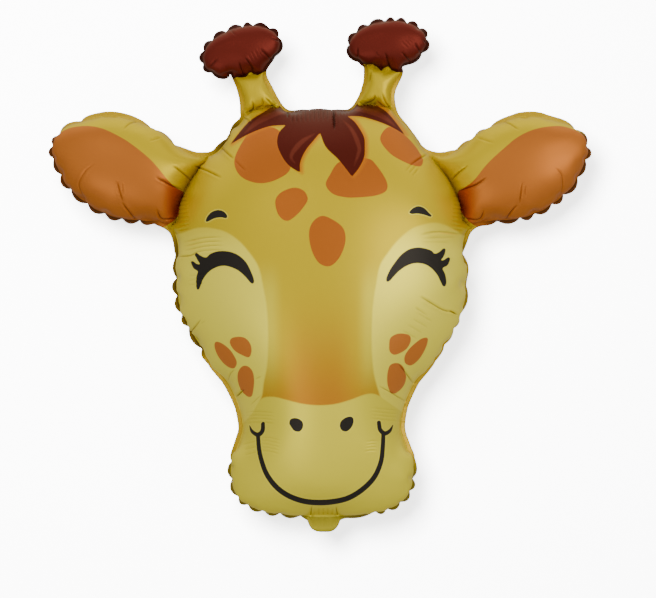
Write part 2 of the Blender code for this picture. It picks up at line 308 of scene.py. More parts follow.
def cutAcross(ring, line):
    # Ties a cross weld to the ring: its two ring points, and its own points between them
    gap = film["cutGap"] * film["ringStep"] * mm
    kept = np.flatnonzero(inside(line, ring) & (distanceTo(line, ring) > gap))
    kept = max(np.split(kept, np.flatnonzero(np.diff(kept) > 1) + 1), key=len)
    first, last = kept[0], kept[-1]
    after = min(last + 1, len(line) - 1)
    meet = [(line[max(first - 1, 0)] + line[first]) / 2, (line[last] + line[after]) / 2]
    ends = [int(((ring - p) ** 2).sum(1).argmin()) for p in meet]
    inner = line[first : last + 1]
    if ends[0] > ends[1]:
        ends, inner = ends[::-1], inner[::-1]
    return {"start": ends[0], "end": ends[1], "points": inner}


def chamberLoops(count, cuts):
    # Each chamber's closed run of points, found by walking the ring and crossing at each cut
    loops = []

    def walk(first, last, own):
        path, at = [], first
        while at < last:
            path.append(at)
            here = [c for c in cuts if c is not own and c["start"] == at and c["end"] <= last]
            if here:
                cut = max(here, key=lambda c: c["end"])
                loops.append(walk(cut["start"], cut["end"], cut) + [cut["end"]] + cut["ids"][::-1])
                path += cut["ids"]
                at = cut["end"]
            else:
                at += 1
        return path

    loops.append(walk(0, count, None))
    return loops


def hexGrid(low, high, step):
    rise = step * math.sqrt(0.75)
    rows = np.arange(low[1], high[1] + rise, rise)
    columns = np.arange(low[0], high[0] + step, step)
    x, y = np.meshgrid(columns, rows)
    x = x + (np.arange(len(rows)) % 2)[:, None] * step / 2
    return np.stack([x.ravel(), y.ravel()], axis=1)


def fillLoop(loop, step):
    # Even triangles inside a closed run of points, which stay the first points
    grid = hexGrid(loop.min(0), loop.max(0), step)
    grid = grid[inside(grid, loop)]
    grid = grid[distanceTo(grid, loop) > film["edgeGap"] * step]
    points = np.vstack([loop, grid])
    links = [(k, (k + 1) % len(loop)) for k in range(len(loop))]
    made = delaunay_2d_cdt([Vector(p) for p in points], links, [], 1, 1e-9)
    order = np.array([old[0] if old else -1 for old in made[3]])
    triangles = order[np.array(made[2])]
    triangles = triangles[(triangles >= 0).all(1)]
    (x0, y0), (x1, y1), (x2, y2) = points[triangles].transpose(1, 2, 0)
    turnedOver = (x1 - x0) * (y2 - y0) < (y1 - y0) * (x2 - x0)
    triangles[turnedOver] = triangles[turnedOver][:, ::-1]
    return points, triangles


def chamberMesh(loop, step):
    # Triangles inside the loop, the cotangent weights of their sides, and each point's share of the area
    points, triangles = fillLoop(loop, step)
    p = points[triangles]
    sides = np.stack([p[:, 2] - p[:, 1], p[:, 0] - p[:, 2], p[:, 1] - p[:, 0]], axis=1)
    area = 0.5 * np.abs(sides[:, 0, 0] * sides[:, 1, 1] - sides[:, 0, 1] * sides[:, 1, 0])
    area = np.maximum(area, 1e-12)
    pairs = [((k + 1) % 3, (k + 2) % 3) for k in range(3)]
    weights = [-(sides[:, a] * sides[:, b]).sum(1) / (4 * area) for a, b in pairs]
    return {
        "points": points, "triangles": triangles, "sides": sides, "area": area,
        "a": np.concatenate([triangles[:, a] for a, _ in pairs]),
        "b": np.concatenate([triangles[:, b] for _, b in pairs]),
        "weight": np.concatenate(weights),
        "share": np.bincount(triangles.ravel(), np.repeat(area / 3, 3), len(points)),
        "onEdge": np.arange(len(points)) < len(loop),
    }


def pulled(mesh, x):
    flow = mesh["weight"] * (x[mesh["a"]] - x[mesh["b"]])
    return np.bincount(mesh["a"], flow, len(x)) - np.bincount(mesh["b"], flow, len(x))


def solveOn(mesh, load, edgeValues, rounds=900, enough=1e-5):
    # Conjugate gradients for the film's deflection under a load, held at its edge
    a, b, weight = mesh["a"], mesh["b"], mesh["weight"]
    diagonal = np.bincount(a, weight, len(load)) + np.bincount(b, weight, len(load))
    diagonal = np.maximum(diagonal, 1e-12)
    free = ~mesh["onEdge"]
    x = np.where(free, 0.0, edgeValues)
    r = np.where(free, load - pulled(mesh, x), 0)
    z = r / diagonal
    d, rz = z.copy(), r @ z
    first = rz
    for _ in range(rounds):
        if rz <= enough**2 * first:
            break
        q = np.where(free, pulled(mesh, d), 0)
        step = rz / (d @ q)
        x += step * d
        r -= step * q
        z = r / diagonal
        new = r @ z
        d = z + new / rz * d
        rz = new
    return x


def slopeOn(mesh, values):
    # Slope of the values over each triangle
    sides, triangles = mesh["sides"], mesh["triangles"]
    slope = sum(values[triangles[:, k], None] * np.stack([-sides[:, k, 1], sides[:, k, 0]], axis=1)
                for k in range(3))
    return slope / (2 * mesh["area"][:, None])


def gathered(mesh, rows):
    # What the triangles' values bring to each of their points
    rows = rows * mesh["area"][:, None] / 3
    return sum(sumBy(mesh["triangles"][:, k], rows, len(mesh["points"])) for k in range(3))


def ellipseTable(swell):
    # Slope of the film along a quarter of a tube's section, from its crown to its weld
    t = np.linspace(0, math.pi / 2, 400)
    speed = np.sqrt(np.cos(t) ** 2 + (swell * np.sin(t)) ** 2)
    run = runAlong((speed[1:] + speed[:-1]) / 2 * np.diff(t))
    return run / run[-1], np.cos(t) / speed


def flatEdge(loop, pull):
    # The chamber's edge before inflation, further out where the gas pulls more on the weld
    spread = film["spread"] * smoothAround(np.maximum(pull, 0), 3)
    # Where the outline is hollow the flat film can't reach further than the hollow's own radius
    normals, along = outward(smoothAround(loop, 2)), chords(loop)
    bend = (chords(normals) * along).sum(1) / np.maximum((along**2).sum(1), 1e-12)
    bend = smoothAround(bend, 4)
    spread = np.where(bend < 0, spread / (1 - film["hollow"] * bend * spread), spread)
    spread = smoothAround(spread, 4)
    forward = toNext(loop)
    for _ in range(40):
        # Drawn in by a quarter wherever its edge would bunch up or double back on itself
        along = (toNext(loop + normals * spread[:, None]) * forward).sum(1)
        tight = (along < 0.4 * (forward**2).sum(1)).astype(float)
        if not tight.any():
            break
        near = smoothAround(np.maximum(tight, np.roll(tight, 1)), 3, 1) > 1e-9
        spread = smoothAround(np.where(near, 0.75 * spread, spread), 1, 1)
    return loop + normals * spread[:, None]


def inflateChamber(ids, loop):
    # One chamber's flat film, and its points' plan places and heights once it is blown up
    count = len(loop)
    coarse = chamberMesh(loop, film["coarseStep"] * mm)
    sag = solveOn(coarse, coarse["share"], 0)
    lengths = lengthsOf(toNext(loop))
    pull = (coarse["share"] - pulled(coarse, sag))[:count] / ((lengths + np.roll(lengths, 1)) / 2)
    flatLoop = flatEdge(loop, pull)
    flat = chamberMesh(flatLoop, film["step"] * mm)
    points = flat["points"]
    v = solveOn(flat, flat["share"], 0)
    steep = ((gathered(flat, slopeOn(flat, v)) / flat["share"][:, None]) ** 2).sum(1)
    inward = np.sqrt(np.clip(1 - v / np.maximum(v + steep / 2, 1e-12), 0, 1))
    inward[:count] = 1
    shrink = np.interp(inward, *ellipseTable(film["swell"])) - 1
    load = -gathered(flat, slopeOn(flat, shrink))
    plan = points.copy()
    for c in (0, 1):
        held = np.zeros(len(points))
        held[:count] = loop[:, c] - flatLoop[:, c]
        plan[:, c] += solveOn(flat, load[:, c], held)
    plan[:count] = loop
    lifted = [Vector((*p, z)) for p, z in zip(coarse["points"], sag)]
    surface = BVHTree.FromPolygons(lifted, coarse["triangles"].tolist())
    height = np.zeros(len(plan))
    for k in range(count, len(plan)):
        hit = surface.ray_cast(Vector((*plan[k], 1)), Vector((0, 0, -1)))[0]
        height[k] = 0 if hit is None else hit.z
    height = film["swell"] * np.sqrt(2 * np.maximum(height, 0))
    print("chamber of", len(plan), "points,", round(height.max() / mm), "mm from the seam to its top")
    return {"ids": np.array(ids), "plan": plan, "height": height, "flat": points,
            "triangles": flat["triangles"]}


# Along the seam, in millimetres: a pucker's pitch, how far the cut edge is drawn in at a notch,
# how much of the margin is seen from the front, how much painted shade and dark reflection darken it (on the
# crown this also gives the hair's brown), how golden its print is, how loose the film is there, and how far
# the weld goes in with the cut edge
marginWords = ("pitch", "drawn", "shows", "paintedDarkness", "gold", "slack", "weld")
margins = {place: dict(zip(marginWords, values)) for place, values in {
    "knob": (22, 6.5, 6.5, 0.95, 1, 0.7, 0.25),
    "knobLow": (38, 5, 4.0, 0.95, 1, 1, 0.95),
    "earTop": (40, 5.5, 2.0, 0.25, 1, 0.5, 0.45),
    "ear": (28, 7.5, 6.5, 0.92, 1, 1, 0.25),
    "webTop": (50, 0.3, 8.0, 0.0, 1, 0.5, 0.45),
    "webLow": (50, 0.5, 8.0, 0.2, 1, 0.5, 0.45),
    "rootLow": (50, 0.8, 7.0, 0.85, 1, 1, 0.45),
    "head": (33, 8, 8.0, 0.95, 1, 1, 0.2),
    "shoulder": (60, 0.6, 1.2, 0.1, 1, 0.3, 0.6),
    "temple": (56, 7.5, 6.0, 0.55, 1, 1, 0.3),
    "jowl": (27, 4.0, 2.0, 0.1, 1, 1, 0.8),
    "waist": (40, 0.6, 7.5, 0.05, 1, 1, 0.45),
    "muzzle": (26, 7, 5.5, 0.85, 0.5, 1, 0.3),
    "tail": (60, 0, 6.0, 0.6, 0, 0.5, 0.45),
    "stem": (40, 0.3, 8.0, 0.05, 1, 0.6, 0.45),
    "crown": (60, 0.2, 1.2, 0.6, 0, 0.1, 0.45),
}.items()}
# Where each of them lies, in drawn millimetres: the first box that holds a point gives its place.
# A box is the side it is on, how far out it starts and ends, and how high it starts and ends.
far = 999
seamBoxes = [
    ("stem", "both", 50, far, 240, far), ("stem", "both", -1, far, 262, far),
    ("crown", "both", -1, far, 240, far), ("webTop", "both", 166, 212, 176, far),
    ("webLow", "both", 215, 262, 60, 92), ("rootLow", "left", 215, 262, 22, 92),
    ("rootLow", "right", 215, 262, 54, 92), ("earTop", "both", 205, far, 222, far),
    ("earTop", "both", 205, 300, 170, far), ("ear", "both", 205, far, 60, far),
    ("tail", "right", -27, 39, -far, -372), ("muzzle", "left", 0, far, -far, -284),
    ("muzzle", "right", -1, far, -far, -298), ("shoulder", "right", 0, far, 100, far),
    ("waist", "both", -1, far, -far, -128), ("head", "left", 0, far, -far, far),
    ("temple", "both", -1, far, -64, far), ("jowl", "both", -1, far, -far, far),
]
knobZone = {"reach": 80, "fromNeck": -2, "lowUntil": -14}  # millimetres, the last two along the horn
puckers = {
    "jitter": 0.32,        # how much one pucker's pitch differs from the next
    "seed": 7,
    "lift": 2.0,           # how far the seam is folded up or down at a notch
    "droop": (0.1, 0.6),   # slope of the margin on a lobe, least and most
    "dive": 0.9,           # how far the cut edge goes down at a notch, as a share of the margin
    "upturned": 0.2,       # share of the notches that turn up instead of down
    "upturn": 0.6,         # how far those turn up, beside the ones that turn down
    "fullDepth": 6,        # how far in a notch is drawn where its folds are at their strongest
    "wane": 0.6,           # how soon a notch's pull dies out in the film, in pitches
    "follow": 0.5,         # how much the film's height follows that pull
    "lobeShape": 0.8,      # below 1 the lobes are fuller than the notches
    "diveShape": 1.2,      # above 1 the cut edge dives later, close to the notch
    "foldShape": 1.5,
    "shadeFadeToRim": 0.35,      # how much lighter the margin's painted shade is at the cut edge than at the weld
}
relaxing = {
    "steps": 300,
    "sweeps": 2,
    "push": 0.002,         # millimetres that the gas moves a free point in one step
    "drag": 0.03,
    "squeeze": (0.25, 0.01),  # how much the film resists being shortened, at the weld and far from it
    "squeezeReach": 20,
    "slack": 0.7,          # share of the flat film's extra length round the seam that is puckered
    "slackReach": 26,
    "overhang": 0.22,      # extra length across the seam, so that the film swells out over it
    "overhangReach": 16,
    "bend": 0.02,
    "keep": 0.05,          # how fast each point of the seam goes back to its own lobe
    "hold": 0.20,          # how fast the weld line is drawn back to its drawn course
    "holdOver": 36,        # the length of seam that is drawn back together
}


def seamPlace(point):
    # Which part of the seam a point lies on
    x, y = point / mm
    for horn in horns:
        neck, knob = np.mean(horn["neck"], axis=0), np.array(horn["knob"])
        axis = (knob - neck) / np.linalg.norm(knob - neck)
        near = np.hypot(x - knob[0], y - knob[1]) < knobZone["reach"]
        if near and (np.array([x, y]) - neck) @ axis > knobZone["fromNeck"]:
            return "knobLow" if (np.array([x, y]) - knob) @ axis < knobZone["lowUntil"] else "knob"
    out = {"both": abs(x), "left": -x, "right": x}
    return next(place for place, side, start, end, low, high in seamBoxes
                if start < out[side] < end and low < y < high)


def puckerPhase(ring):
    # Whole puckers counted along the ring, with notches at the whole numbers
    dice = np.random.default_rng(puckers["seed"])
    run = runAlong(lengthsOf(toNext(ring)))
    marks, at = [0.0], 0.0
    while at < run[-1]:
        here = ring[min(int(np.searchsorted(run, at)), len(ring) - 1)]
        at += margins[seamPlace(here)]["pitch"] * mm * (1 + puckers["jitter"] * dice.uniform(-1, 1))
        marks.append(at)
    marks = np.array(marks) * run[-1] / marks[-1]
    return np.interp(run[:-1], marks, np.arange(len(marks))), len(marks) - 1


def assemble(ring, cut, seam, chambers):
    # One sheet of points: the seam first, then each chamber's front and back, then the margin
    n, total = len(ring), len(seam)
    plan, height = [seam], [np.zeros(total)]
    onHead, onKnob = [np.zeros(total)], [np.zeros(total)]
    films, edges, margin, rows = [], [], [], [np.arange(n)]
    flatSeam, hits = np.zeros((total, 2)), np.zeros(total)
    for chamber in chambers:
        ids, triangles = chamber["ids"], chamber["triangles"]
        own = chamber["plan"][len(ids):]
        isKnob = float(chamber["plan"][:, 1].mean() > film["knobsFrom"] * mm)
        onKnob[0][ids] = np.maximum(onKnob[0][ids], isKnob)
        flatSeam[ids] += chamber["flat"][: len(ids)]
        hits[ids] += 1
        pairs = np.unique(sidesOf(triangles), axis=0)
        for side in (1, -1):
            local = np.concatenate([ids, total + np.arange(len(own))])
            plan.append(own)
            height.append(side * chamber["height"][len(ids):])
            films.append((side, local[triangles if side > 0 else triangles[:, ::-1]]))
            onHead.append(np.full(len(own), float(chamber is chambers[-1])))
            onKnob.append(np.full(len(own), isKnob))
            edges.append(local[pairs])
            total += len(own)
    for r in range(film["marginRows"]):
        inner, outer = rows[-1], total + np.arange(n)
        nextInner, nextOuter = np.roll(inner, -1), np.roll(outer, -1)
        rows.append(outer)
        plan.append(ring + (cut - ring) * ((r + 1) / film["marginRows"]))
        height.append(np.zeros(n))
        onHead.append(np.zeros(n))
        onKnob.append(onKnob[0][:n])
        total += n
        for a, b in ((outer, nextOuter), (inner, outer), (inner, nextOuter), (outer, nextInner)):
            edges.append(np.column_stack([a, b]))
        margin.append(np.column_stack([inner, outer, nextOuter]))
        margin.append(np.column_stack([inner, nextOuter, nextInner]))
    plan = np.vstack(plan)
    return {
        "x": np.column_stack([plan, seamHeight + np.concatenate(height)]), "plan": plan,
        "onHead": np.concatenate(onHead), "onKnob": np.concatenate(onKnob), "films": films,
        "margin": np.vstack(margin), "edges": np.unique(np.sort(np.vstack(edges), axis=1), axis=0),
        "rows": rows, "seam": len(seam), "flatSeam": flatSeam / hits[:, None],
    }


def colourEdges(edges, count):
    # Sets of edges that share no point, so that each set moves its points at once
    used = [0] * count
    colour = np.zeros(len(edges), int)
    for k, (a, b) in enumerate(edges.tolist()):
        taken = used[a] | used[b]
        bit = 0
        while taken >> bit & 1:
            bit += 1
        used[a] |= 1 << bit
        used[b] |= 1 << bit
        colour[k] = bit
    return [np.flatnonzero(colour == c) for c in range(colour.max() + 1)]


def seedPuckers(sheet, ring):
    # First puckers: lobes out between notches, and the film drawn in behind each notch
    x, rows, n = sheet["x"], sheet["rows"], len(ring)
    margin = outline["margin"] * mm
    phase, number = puckerPhase(ring)
    dice = np.random.default_rng(puckers["seed"] + 1)
    atNotch = np.round(phase).astype(int) % number
    lift = dice.uniform(-1, 1, number)[atNotch] * puckers["lift"] * mm
    way = np.where(dice.random(number) < puckers["upturned"], puckers["upturn"], -1)[atNotch]
    droop = dice.uniform(*puckers["droop"], number)[np.floor(phase).astype(int) % number]
    normals, ahead = outward(smoothAround(ring, 2)), chords(ring)
    flat = sheet["flatSeam"][:n]
    longer = lengthsOf(chords(flat)) / lengthsOf(ahead) - 1
    places = [margins[seamPlace(p)] for p in ring]
    pitch, drawnIn, shade, gold, loose, weldShare = (
        smoothAround(np.array([place[key] for place in places], float), 4)
        for key in ("pitch", "drawn", "paintedDarkness", "gold", "slack", "weld"))
    pitch, drawnIn = pitch * mm, drawnIn * mm
    excess = np.clip(smoothAround(longer, 6), 0, 0.4) * loose
    for key in ("shade", "gold", "excess", "depth", "run"):
        sheet[key] = np.zeros(len(x))
    sheet["taut"], sheet["way"] = x.copy(), np.zeros((len(x), 2))
    sheet["excess"][:n], sheet["way"][:n] = excess, normals
    lobe = np.abs(np.sin(math.pi * phase)) ** puckers["lobeShape"]  # 1 on a crest and 0 in a notch
    strength = np.clip(drawnIn / (puckers["fullDepth"] * mm), 0, 1)
    bulge = (way * puckers["dive"] * (1 - lobe) ** puckers["diveShape"] - droop * lobe) * strength
    hidden = 1 - (lengthsOf(x[rows[-1], :2] - ring) / margin) ** 2
    bulge -= np.sqrt(np.clip(hidden, 0, 1)) * (1 - 0.5 * strength)
    fold = lift * (1 - lobe) ** puckers["foldShape"] * strength
    lengths = lengthsOf(toNext(flat))
    run = runAlong(lengths)
    sheet["courses"] = []
    for share, ids in zip(np.linspace(0, 1, len(rows)), rows):
        x[ids, :2] += normals * ((lobe - 1) * drawnIn * (weldShare + (1 - weldShare) * share))[:, None]
        x[ids, 2] += fold + bulge * share * margin
        sheet["courses"].append(x[ids].copy())
        # Painted shade on the margin: darkest at the weld and lighter out to the cut edge
        sheet["shade"][ids], sheet["gold"][ids] = shade * (1 - puckers["shadeFadeToRim"] * share), gold
        sheet["depth"][ids], sheet["run"][ids] = -share * margin, run[:-1]
    movable = np.arange(sheet["seam"], len(x) - n * film["marginRows"])
    for part in np.array_split(movable, 40):
        # Forty parts, because each compares all its points with the whole ring
        d2 = ((sheet["plan"][part, None] - ring[None]) ** 2).sum(2)
        near = d2.argmin(1)
        away = np.sqrt(d2[np.arange(len(part)), near] + (x[part, 2] - seamHeight) ** 2)
        past = ((sheet["plan"][part] - ring[near]) * ahead[near]).sum(1)
        past /= np.maximum((ahead[near] ** 2).sum(1), 1e-12)
        sheet["depth"][part], sheet["excess"][part], sheet["way"][part] = away, excess[near], normals[near]
        sheet["run"][part] = run[near] + np.clip(past, -0.25, 0.25) * 2 * lengths[near]
        fade = np.exp(-away / (puckers["wane"] * pitch[near]))
        inward = ((lobe - 1) * drawnIn * weldShare)[near] * fade
        x[part, :2] += normals[near] * inward[:, None]
        side = np.sign(x[part, 2] - seamHeight)
        x[part, 2] += side * inward * puckers["follow"] + fold[near] * fade * puckers["follow"]
    x[:, 2] = np.maximum(x[:, 2], 0)


def relax(sheet, ring):
    # The gas pushes the film out, and the film keeps its flat lengths
    x, taut, edges = sheet["x"], sheet["taut"], sheet["edges"]
    seamCount, n, rows = sheet["seam"], len(ring), list(zip(sheet["rows"], sheet["courses"]))
    a, b = edges.T
    depth = np.maximum(sheet["depth"][edges].mean(1), 0)
    faded = lambda reach: np.exp(-depth / (relaxing[reach] * mm))
    flatWay = sheet["plan"][b] - sheet["plan"][a]
    flatWay /= np.maximum(lengthsOf(flatWay), 1e-9)[:, None]
    around = 1 - (flatWay * sheet["way"][a]).sum(1) ** 2
    slack = sheet["excess"][edges].mean(1) * faded("slackReach") * around
    full = faded("overhangReach") * (1 - around) * relaxing["overhang"]
    rest = lengthsOf(taut[a] - taut[b]) * (1 + slack * relaxing["slack"] + full)
    lined = np.zeros(len(x), bool)
    for ids, course in rows:
        lined[ids] = True
        taut[ids] = course
    own = lined[edges].all(1)
    rest[own] = lengthsOf(taut[a[own]] - taut[b[own]])
    nearSeam, elsewhere = relaxing["squeeze"]
    squeeze = elsewhere + (nearSeam - elsewhere) * faded("squeezeReach")
    groups = [(a[g], b[g], rest[g], squeeze[g]) for g in colourEdges(edges, len(x))]
    triangles = np.vstack([t for _, t in sheet["films"]])
    degree = np.bincount(edges.ravel(), minlength=len(x))[:, None]
    meanArea = lengthsOf(pointNormals(x, triangles))
    meanArea = meanArea[meanArea > 0].mean()
    crossWeld = np.column_stack([sheet["plan"], np.full(len(x), seamHeight)])[n:seamCount]
    reach = int(round(relaxing["holdOver"] / film["ringStep"] / 2))
    v = np.zeros_like(x)
    for step in range(relaxing["steps"]):
        normals = pointNormals(x, triangles)
        v *= 1 - relaxing["drag"]
        v += normals / meanArea * relaxing["push"] * mm
        before = x.copy()
        x += v
        # The film's own stiffness against sharp folds smaller than a few points
        uneven = neighbourSum(x, a, b) / degree - x
        second = neighbourSum(uneven, a, b) / degree - uneven
        unit = unitRows(normals)
        x -= relaxing["bend"] * (second * unit).sum(1)[:, None] * unit
        for _ in range(relaxing["sweeps"]):
            for i, j, r, soft in groups:
                d = x[j] - x[i]
                length = np.sqrt((d * d).sum(1))
                pull = (length - r) / np.maximum(length, 1e-9) * 0.5
                d *= np.where(pull < 0, pull * soft, pull)[:, None]
                x[i] += d
                x[j] -= d
        for ids, course in rows:
            off = x[ids] - course
            x[ids] -= smoothAround(off, reach, 2) * relaxing["hold"] + off * relaxing["keep"]
        x[n:seamCount] -= (x[n:seamCount] - crossWeld) * relaxing["hold"] * 0.5
        x[:, 2] = np.maximum(x[:, 2], 0)
        v = x - before
        if step % 60 == 59:
            print("  relaxed", step + 1, "steps, fastest point", (np.abs(v).max() / mm).round(3), "mm")


def splitFaces(x, plan, triangles, creased, chosen=None):
    # Triangles split at the middles of their chosen edges. The new points get the usual weights of a
    # smooth subdivision, three eighths and one eighth, except along creased edges, which stay straight.
    across = np.concatenate([triangles[:, 2], triangles[:, 0], triangles[:, 1]])
    edges, which, hits = np.unique(sidesOf(triangles), axis=0, return_inverse=True, return_counts=True)
    a, b = edges.T
    which = which.ravel()
    wings = sumBy(which, x[across], len(edges))
    ends = x[a] + x[b]
    sharp = creased[a] & creased[b]
    middle = np.where(((hits == 2) & ~sharp)[:, None], 0.375 * ends + 0.125 * wings, 0.5 * ends)
    planMiddle = 0.5 * (plan[a] + plan[b])
    if chosen is None:
        split = np.ones(len(edges), bool)
        degree = np.bincount(edges.ravel(), minlength=len(x))
        weight = 3 / (8 * np.maximum(degree, 1))
        moved = (1 - degree * weight)[:, None] * x + weight[:, None] * neighbourSum(x, a, b)
        stay = creased | (degree < 3)
        stay[edges[hits == 1].ravel()] = True
        x = np.where(stay[:, None], x, moved)
    else:
        split = chosen(planMiddle) & (hits == 2)
    added = np.full(len(edges), -1)
    added[split] = len(x) + np.arange(split.sum())
    middles = added[which.reshape(3, -1).T]
    halved = (middles >= 0).sum(1)
    turn = np.where(halved == 1, (middles >= 0).argmax(1),
                    np.where(halved == 2, (middles < 0).argmax(1) + 1, 0))
    order = (turn[:, None] + np.arange(3)) % 3
    (v0, v1, v2), (m0, m1, m2) = (np.take_along_axis(t, order, axis=1).T for t in (triangles, middles))
    pieces = {
        0: [(v0, v1, v2)],
        1: [(v0, m0, v2), (m0, v1, v2)],
        2: [(m0, v1, m1), (v0, m0, m1), (v0, m1, v2)],
        3: [(v0, m0, m2), (m0, v1, m1), (m2, m1, v2), (m0, m1, m2)],
    }
    made = [np.column_stack(t)[halved == k] for k, parts in pieces.items() for t in parts]
    lookup = dict(zip(map(tuple, edges[split].tolist()), added[split]))
    x, plan = np.vstack([x, middle[split]]), np.vstack([plan, planMiddle[split]])
    return x, plan, np.vstack(made), np.append(creased, sharp[split]), lookup


# What each point of the film carries beside its place
carried = ("drawnX", "drawnY", "fromSeam", "alongSeam", "onHead", "marginPaintedShade", "onKnob", "marginGold")


def closedFilm(sheet, ring):
    # Front and back as one closed skin: each with its side of the margin, joined round the cut edge
    x, rows, n = sheet["x"], sheet["rows"], len(ring)
    centre = np.array(view["place"][:2])
    nearer = (view["place"][2] - seamHeight) / (view["place"][2] - np.maximum(x[:, 2], seamHeight))
    drawn = centre + (x[:, :2] - centre) * nearer[:, None]
    keys = ("depth", "run", "onHead", "shade", "onKnob", "gold")
    plan = np.column_stack([drawn] + [sheet[key] for key in keys])
    normals = unitRows(pointNormals(x, sheet["margin"]))
    normals[normals[:, 2] < 0] *= -1
    normals[n : sheet["seam"]] = (0, 0, 1)
    welded = np.arange(sheet["seam"])
    held = np.concatenate([welded] + rows[1:])
    half = film["thickness"] * mm / 2
    upper, lower = x.copy(), x.copy()
    upper[held] += normals[held] * half
    lower[held] -= normals[held] * half
    creased = np.zeros(len(x), bool)
    creased[welded] = True
    front = np.vstack([t for side, t in sheet["films"] if side > 0] + [sheet["margin"]])
    back = np.vstack([t for side, t in sheet["films"] if side < 0] + [sheet["margin"][:, ::-1]])
    upper, upperPlan, front, creased, lookup = splitFaces(upper, plan, front, creased)
    upper, upperPlan, front, creased, _ = splitFaces(upper, upperPlan, front, creased, needsDetail)
    outer, shift = rows[-1].tolist(), len(upper)
    rim = []
    for a, b in zip(outer, outer[1:] + outer[:1]):
        m = lookup[(min(a, b), max(a, b))]
        rim += [(a, a + shift, m), (m, a + shift, b + shift), (m, b + shift, b)]
    triangles = np.vstack([front, back + shift, np.array(rim)])
    used, triangles = np.unique(triangles, return_inverse=True)
    points = np.vstack([upper, lower])[used]
    return points, np.vstack([upperPlan, plan])[used], triangles.reshape(-1, 3), used < shift


# The print, in the same drawn millimetres as the cut edge. Each shape is a closed smooth outline.
spots = [
    [(-134, 174), (-127, 155), (-110, 144), (-88, 141), (-65, 148), (-47, 162), (-50, 190), (-64, 223),
     (-84, 229), (-108, 221), (-125, 199)],
    [(-70, 113), (-64, 124), (-52, 131), (-39, 134), (-25, 129), (-19, 116), (-24, 106), (-38, 90),
     (-52, 82), (-64, 90)],
    [(-17, 55), (-16, 71), (-9, 83), (3, 90), (20, 84), (36, 71), (40, 55), (36, 36), (26, 19),
     (14, 11), (0, 15), (-11, 31)],
    [(9, 139), (16, 155), (30, 174), (77, 179), (89, 168), (105, 141), (104, 130), (92, 123), (64, 119),
     (39, 119), (19, 125)],
    [(94, 209), (98, 221), (108, 229), (122, 224), (138, 211), (153, 193), (161, 176), (158, 168),
     (148, 168), (128, 176), (109, 188)],
    [(-141, -108), (-139, -102), (-129, -99), (-117, -101), (-109, -110), (-107, -122), (-111, -131),
     (-121, -128), (-134, -120)],
    [(-165, -111), (-163, -107), (-156, -108), (-143, -117), (-134, -129), (-130, -140), (-134, -148),
     (-142, -147), (-153, -138), (-162, -124)],
    [(-129, -161), (-127, -152), (-121, -145), (-113, -145), (-106, -152), (-103, -164), (-104, -181),
     (-107, -192), (-112, -193), (-121, -185), (-127, -174)],
    [(108, -113), (110, -101), (119, -95), (130, -94), (140, -97), (142, -104), (136, -117),
     (124, -125), (115, -127), (109, -122)],
    [(132, -131), (137, -121), (150, -108), (161, -101), (168, -101), (168, -108), (161, -125),
     (151, -138), (141, -144), (133, -140)],
    [(105, -170), (106, -153), (110, -143), (119, -140), (127, -143), (133, -153), (134, -167),
     (129, -178), (120, -186), (113, -188), (108, -182)],
]
mane = [
    [(-141, 201), (-111, 237), (-88, 252), (-69, 262), (-22, 266), (12, 266), (39, 264), (64, 268),
     (88, 262), (102, 254), (113, 243), (133, 216), (117, 226), (100, 234), (83, 240), (64, 245),
     (42, 246), (53, 238), (62, 226), (69, 212), (70, 198), (69, 182), (61, 165), (50, 151), (41, 163),
     (28, 179), (9, 198), (0, 220), (-9, 209), (-22, 193), (-31, 173), (-31, 157), (-50, 170),
     (-62, 188), (-67, 204), (-64, 220), (-53, 232), (-78, 230), (-97, 224), (-117, 215)],
]
maneTips = [(-141, 201), (133, 216), (50, 151), (0, 220), (-31, 157), (-53, 232), (42, 246)]
eyes = [
    [(-192, -25), (-193.5, -14), (-192.6, -3), (-191, 3), (-197.5, 8), (-201.5, 18.5), (-198.5, 19),
     (-192.6, 15), (-188, 14.5), (-192, 22), (-195.5, 31), (-192.6, 32), (-186.5, 27.6), (-178, 25),
     (-172, 30), (-162, 34), (-151, 35), (-138, 33), (-127, 28), (-116, 18), (-107.5, 2), (-103, -12),
     (-104.5, -16), (-108, -15), (-115, -7), (-127, 4), (-140, 10), (-151, 12), (-162, 9.5), (-173, 3),
     (-182, -8), (-186.5, -19), (-189.5, -25)],
    [(195.5, -20), (197.5, -14), (195.5, -1), (192, 8), (199.5, 13), (203, 24), (200, 25), (193.5, 21),
     (189.5, 20.5), (194, 28), (196, 38), (193, 39), (187, 34), (179.5, 31), (174, 35.5), (164, 39),
     (153, 40.5), (140, 38), (128, 30), (117, 17), (108, 3), (103.5, -9), (104.5, -13), (108.5, -12),
     (115, -5), (125, 5), (138, 13), (150, 16), (163, 14.5), (173, 9), (183, -2), (188.5, -13),
     (192.5, -20)],
]
brows = [
    [(-178.5, 81.5), (-176, 89), (-169, 96), (-160, 99), (-151, 97), (-145, 90), (-146, 86.5),
     (-155, 87.5), (-165, 86), (-173, 82), (-177, 80.5)],
    [(139.5, 95), (144, 101), (153, 105), (162, 102.5), (170, 95), (174.5, 90), (173, 88.5),
     (163, 91.5), (152, 93.5), (143, 93)],
]
nostrils = [
    [(-48, -234), (-46, -228), (-40, -226), (-32, -228), (-27, -233), (-27, -241), (-32, -247),
     (-40, -246), (-45, -240)],
    [(52, -227), (49, -224), (41, -225), (33, -231), (31, -238), (34, -245), (41, -247), (48, -242),
     (52, -234)],
]
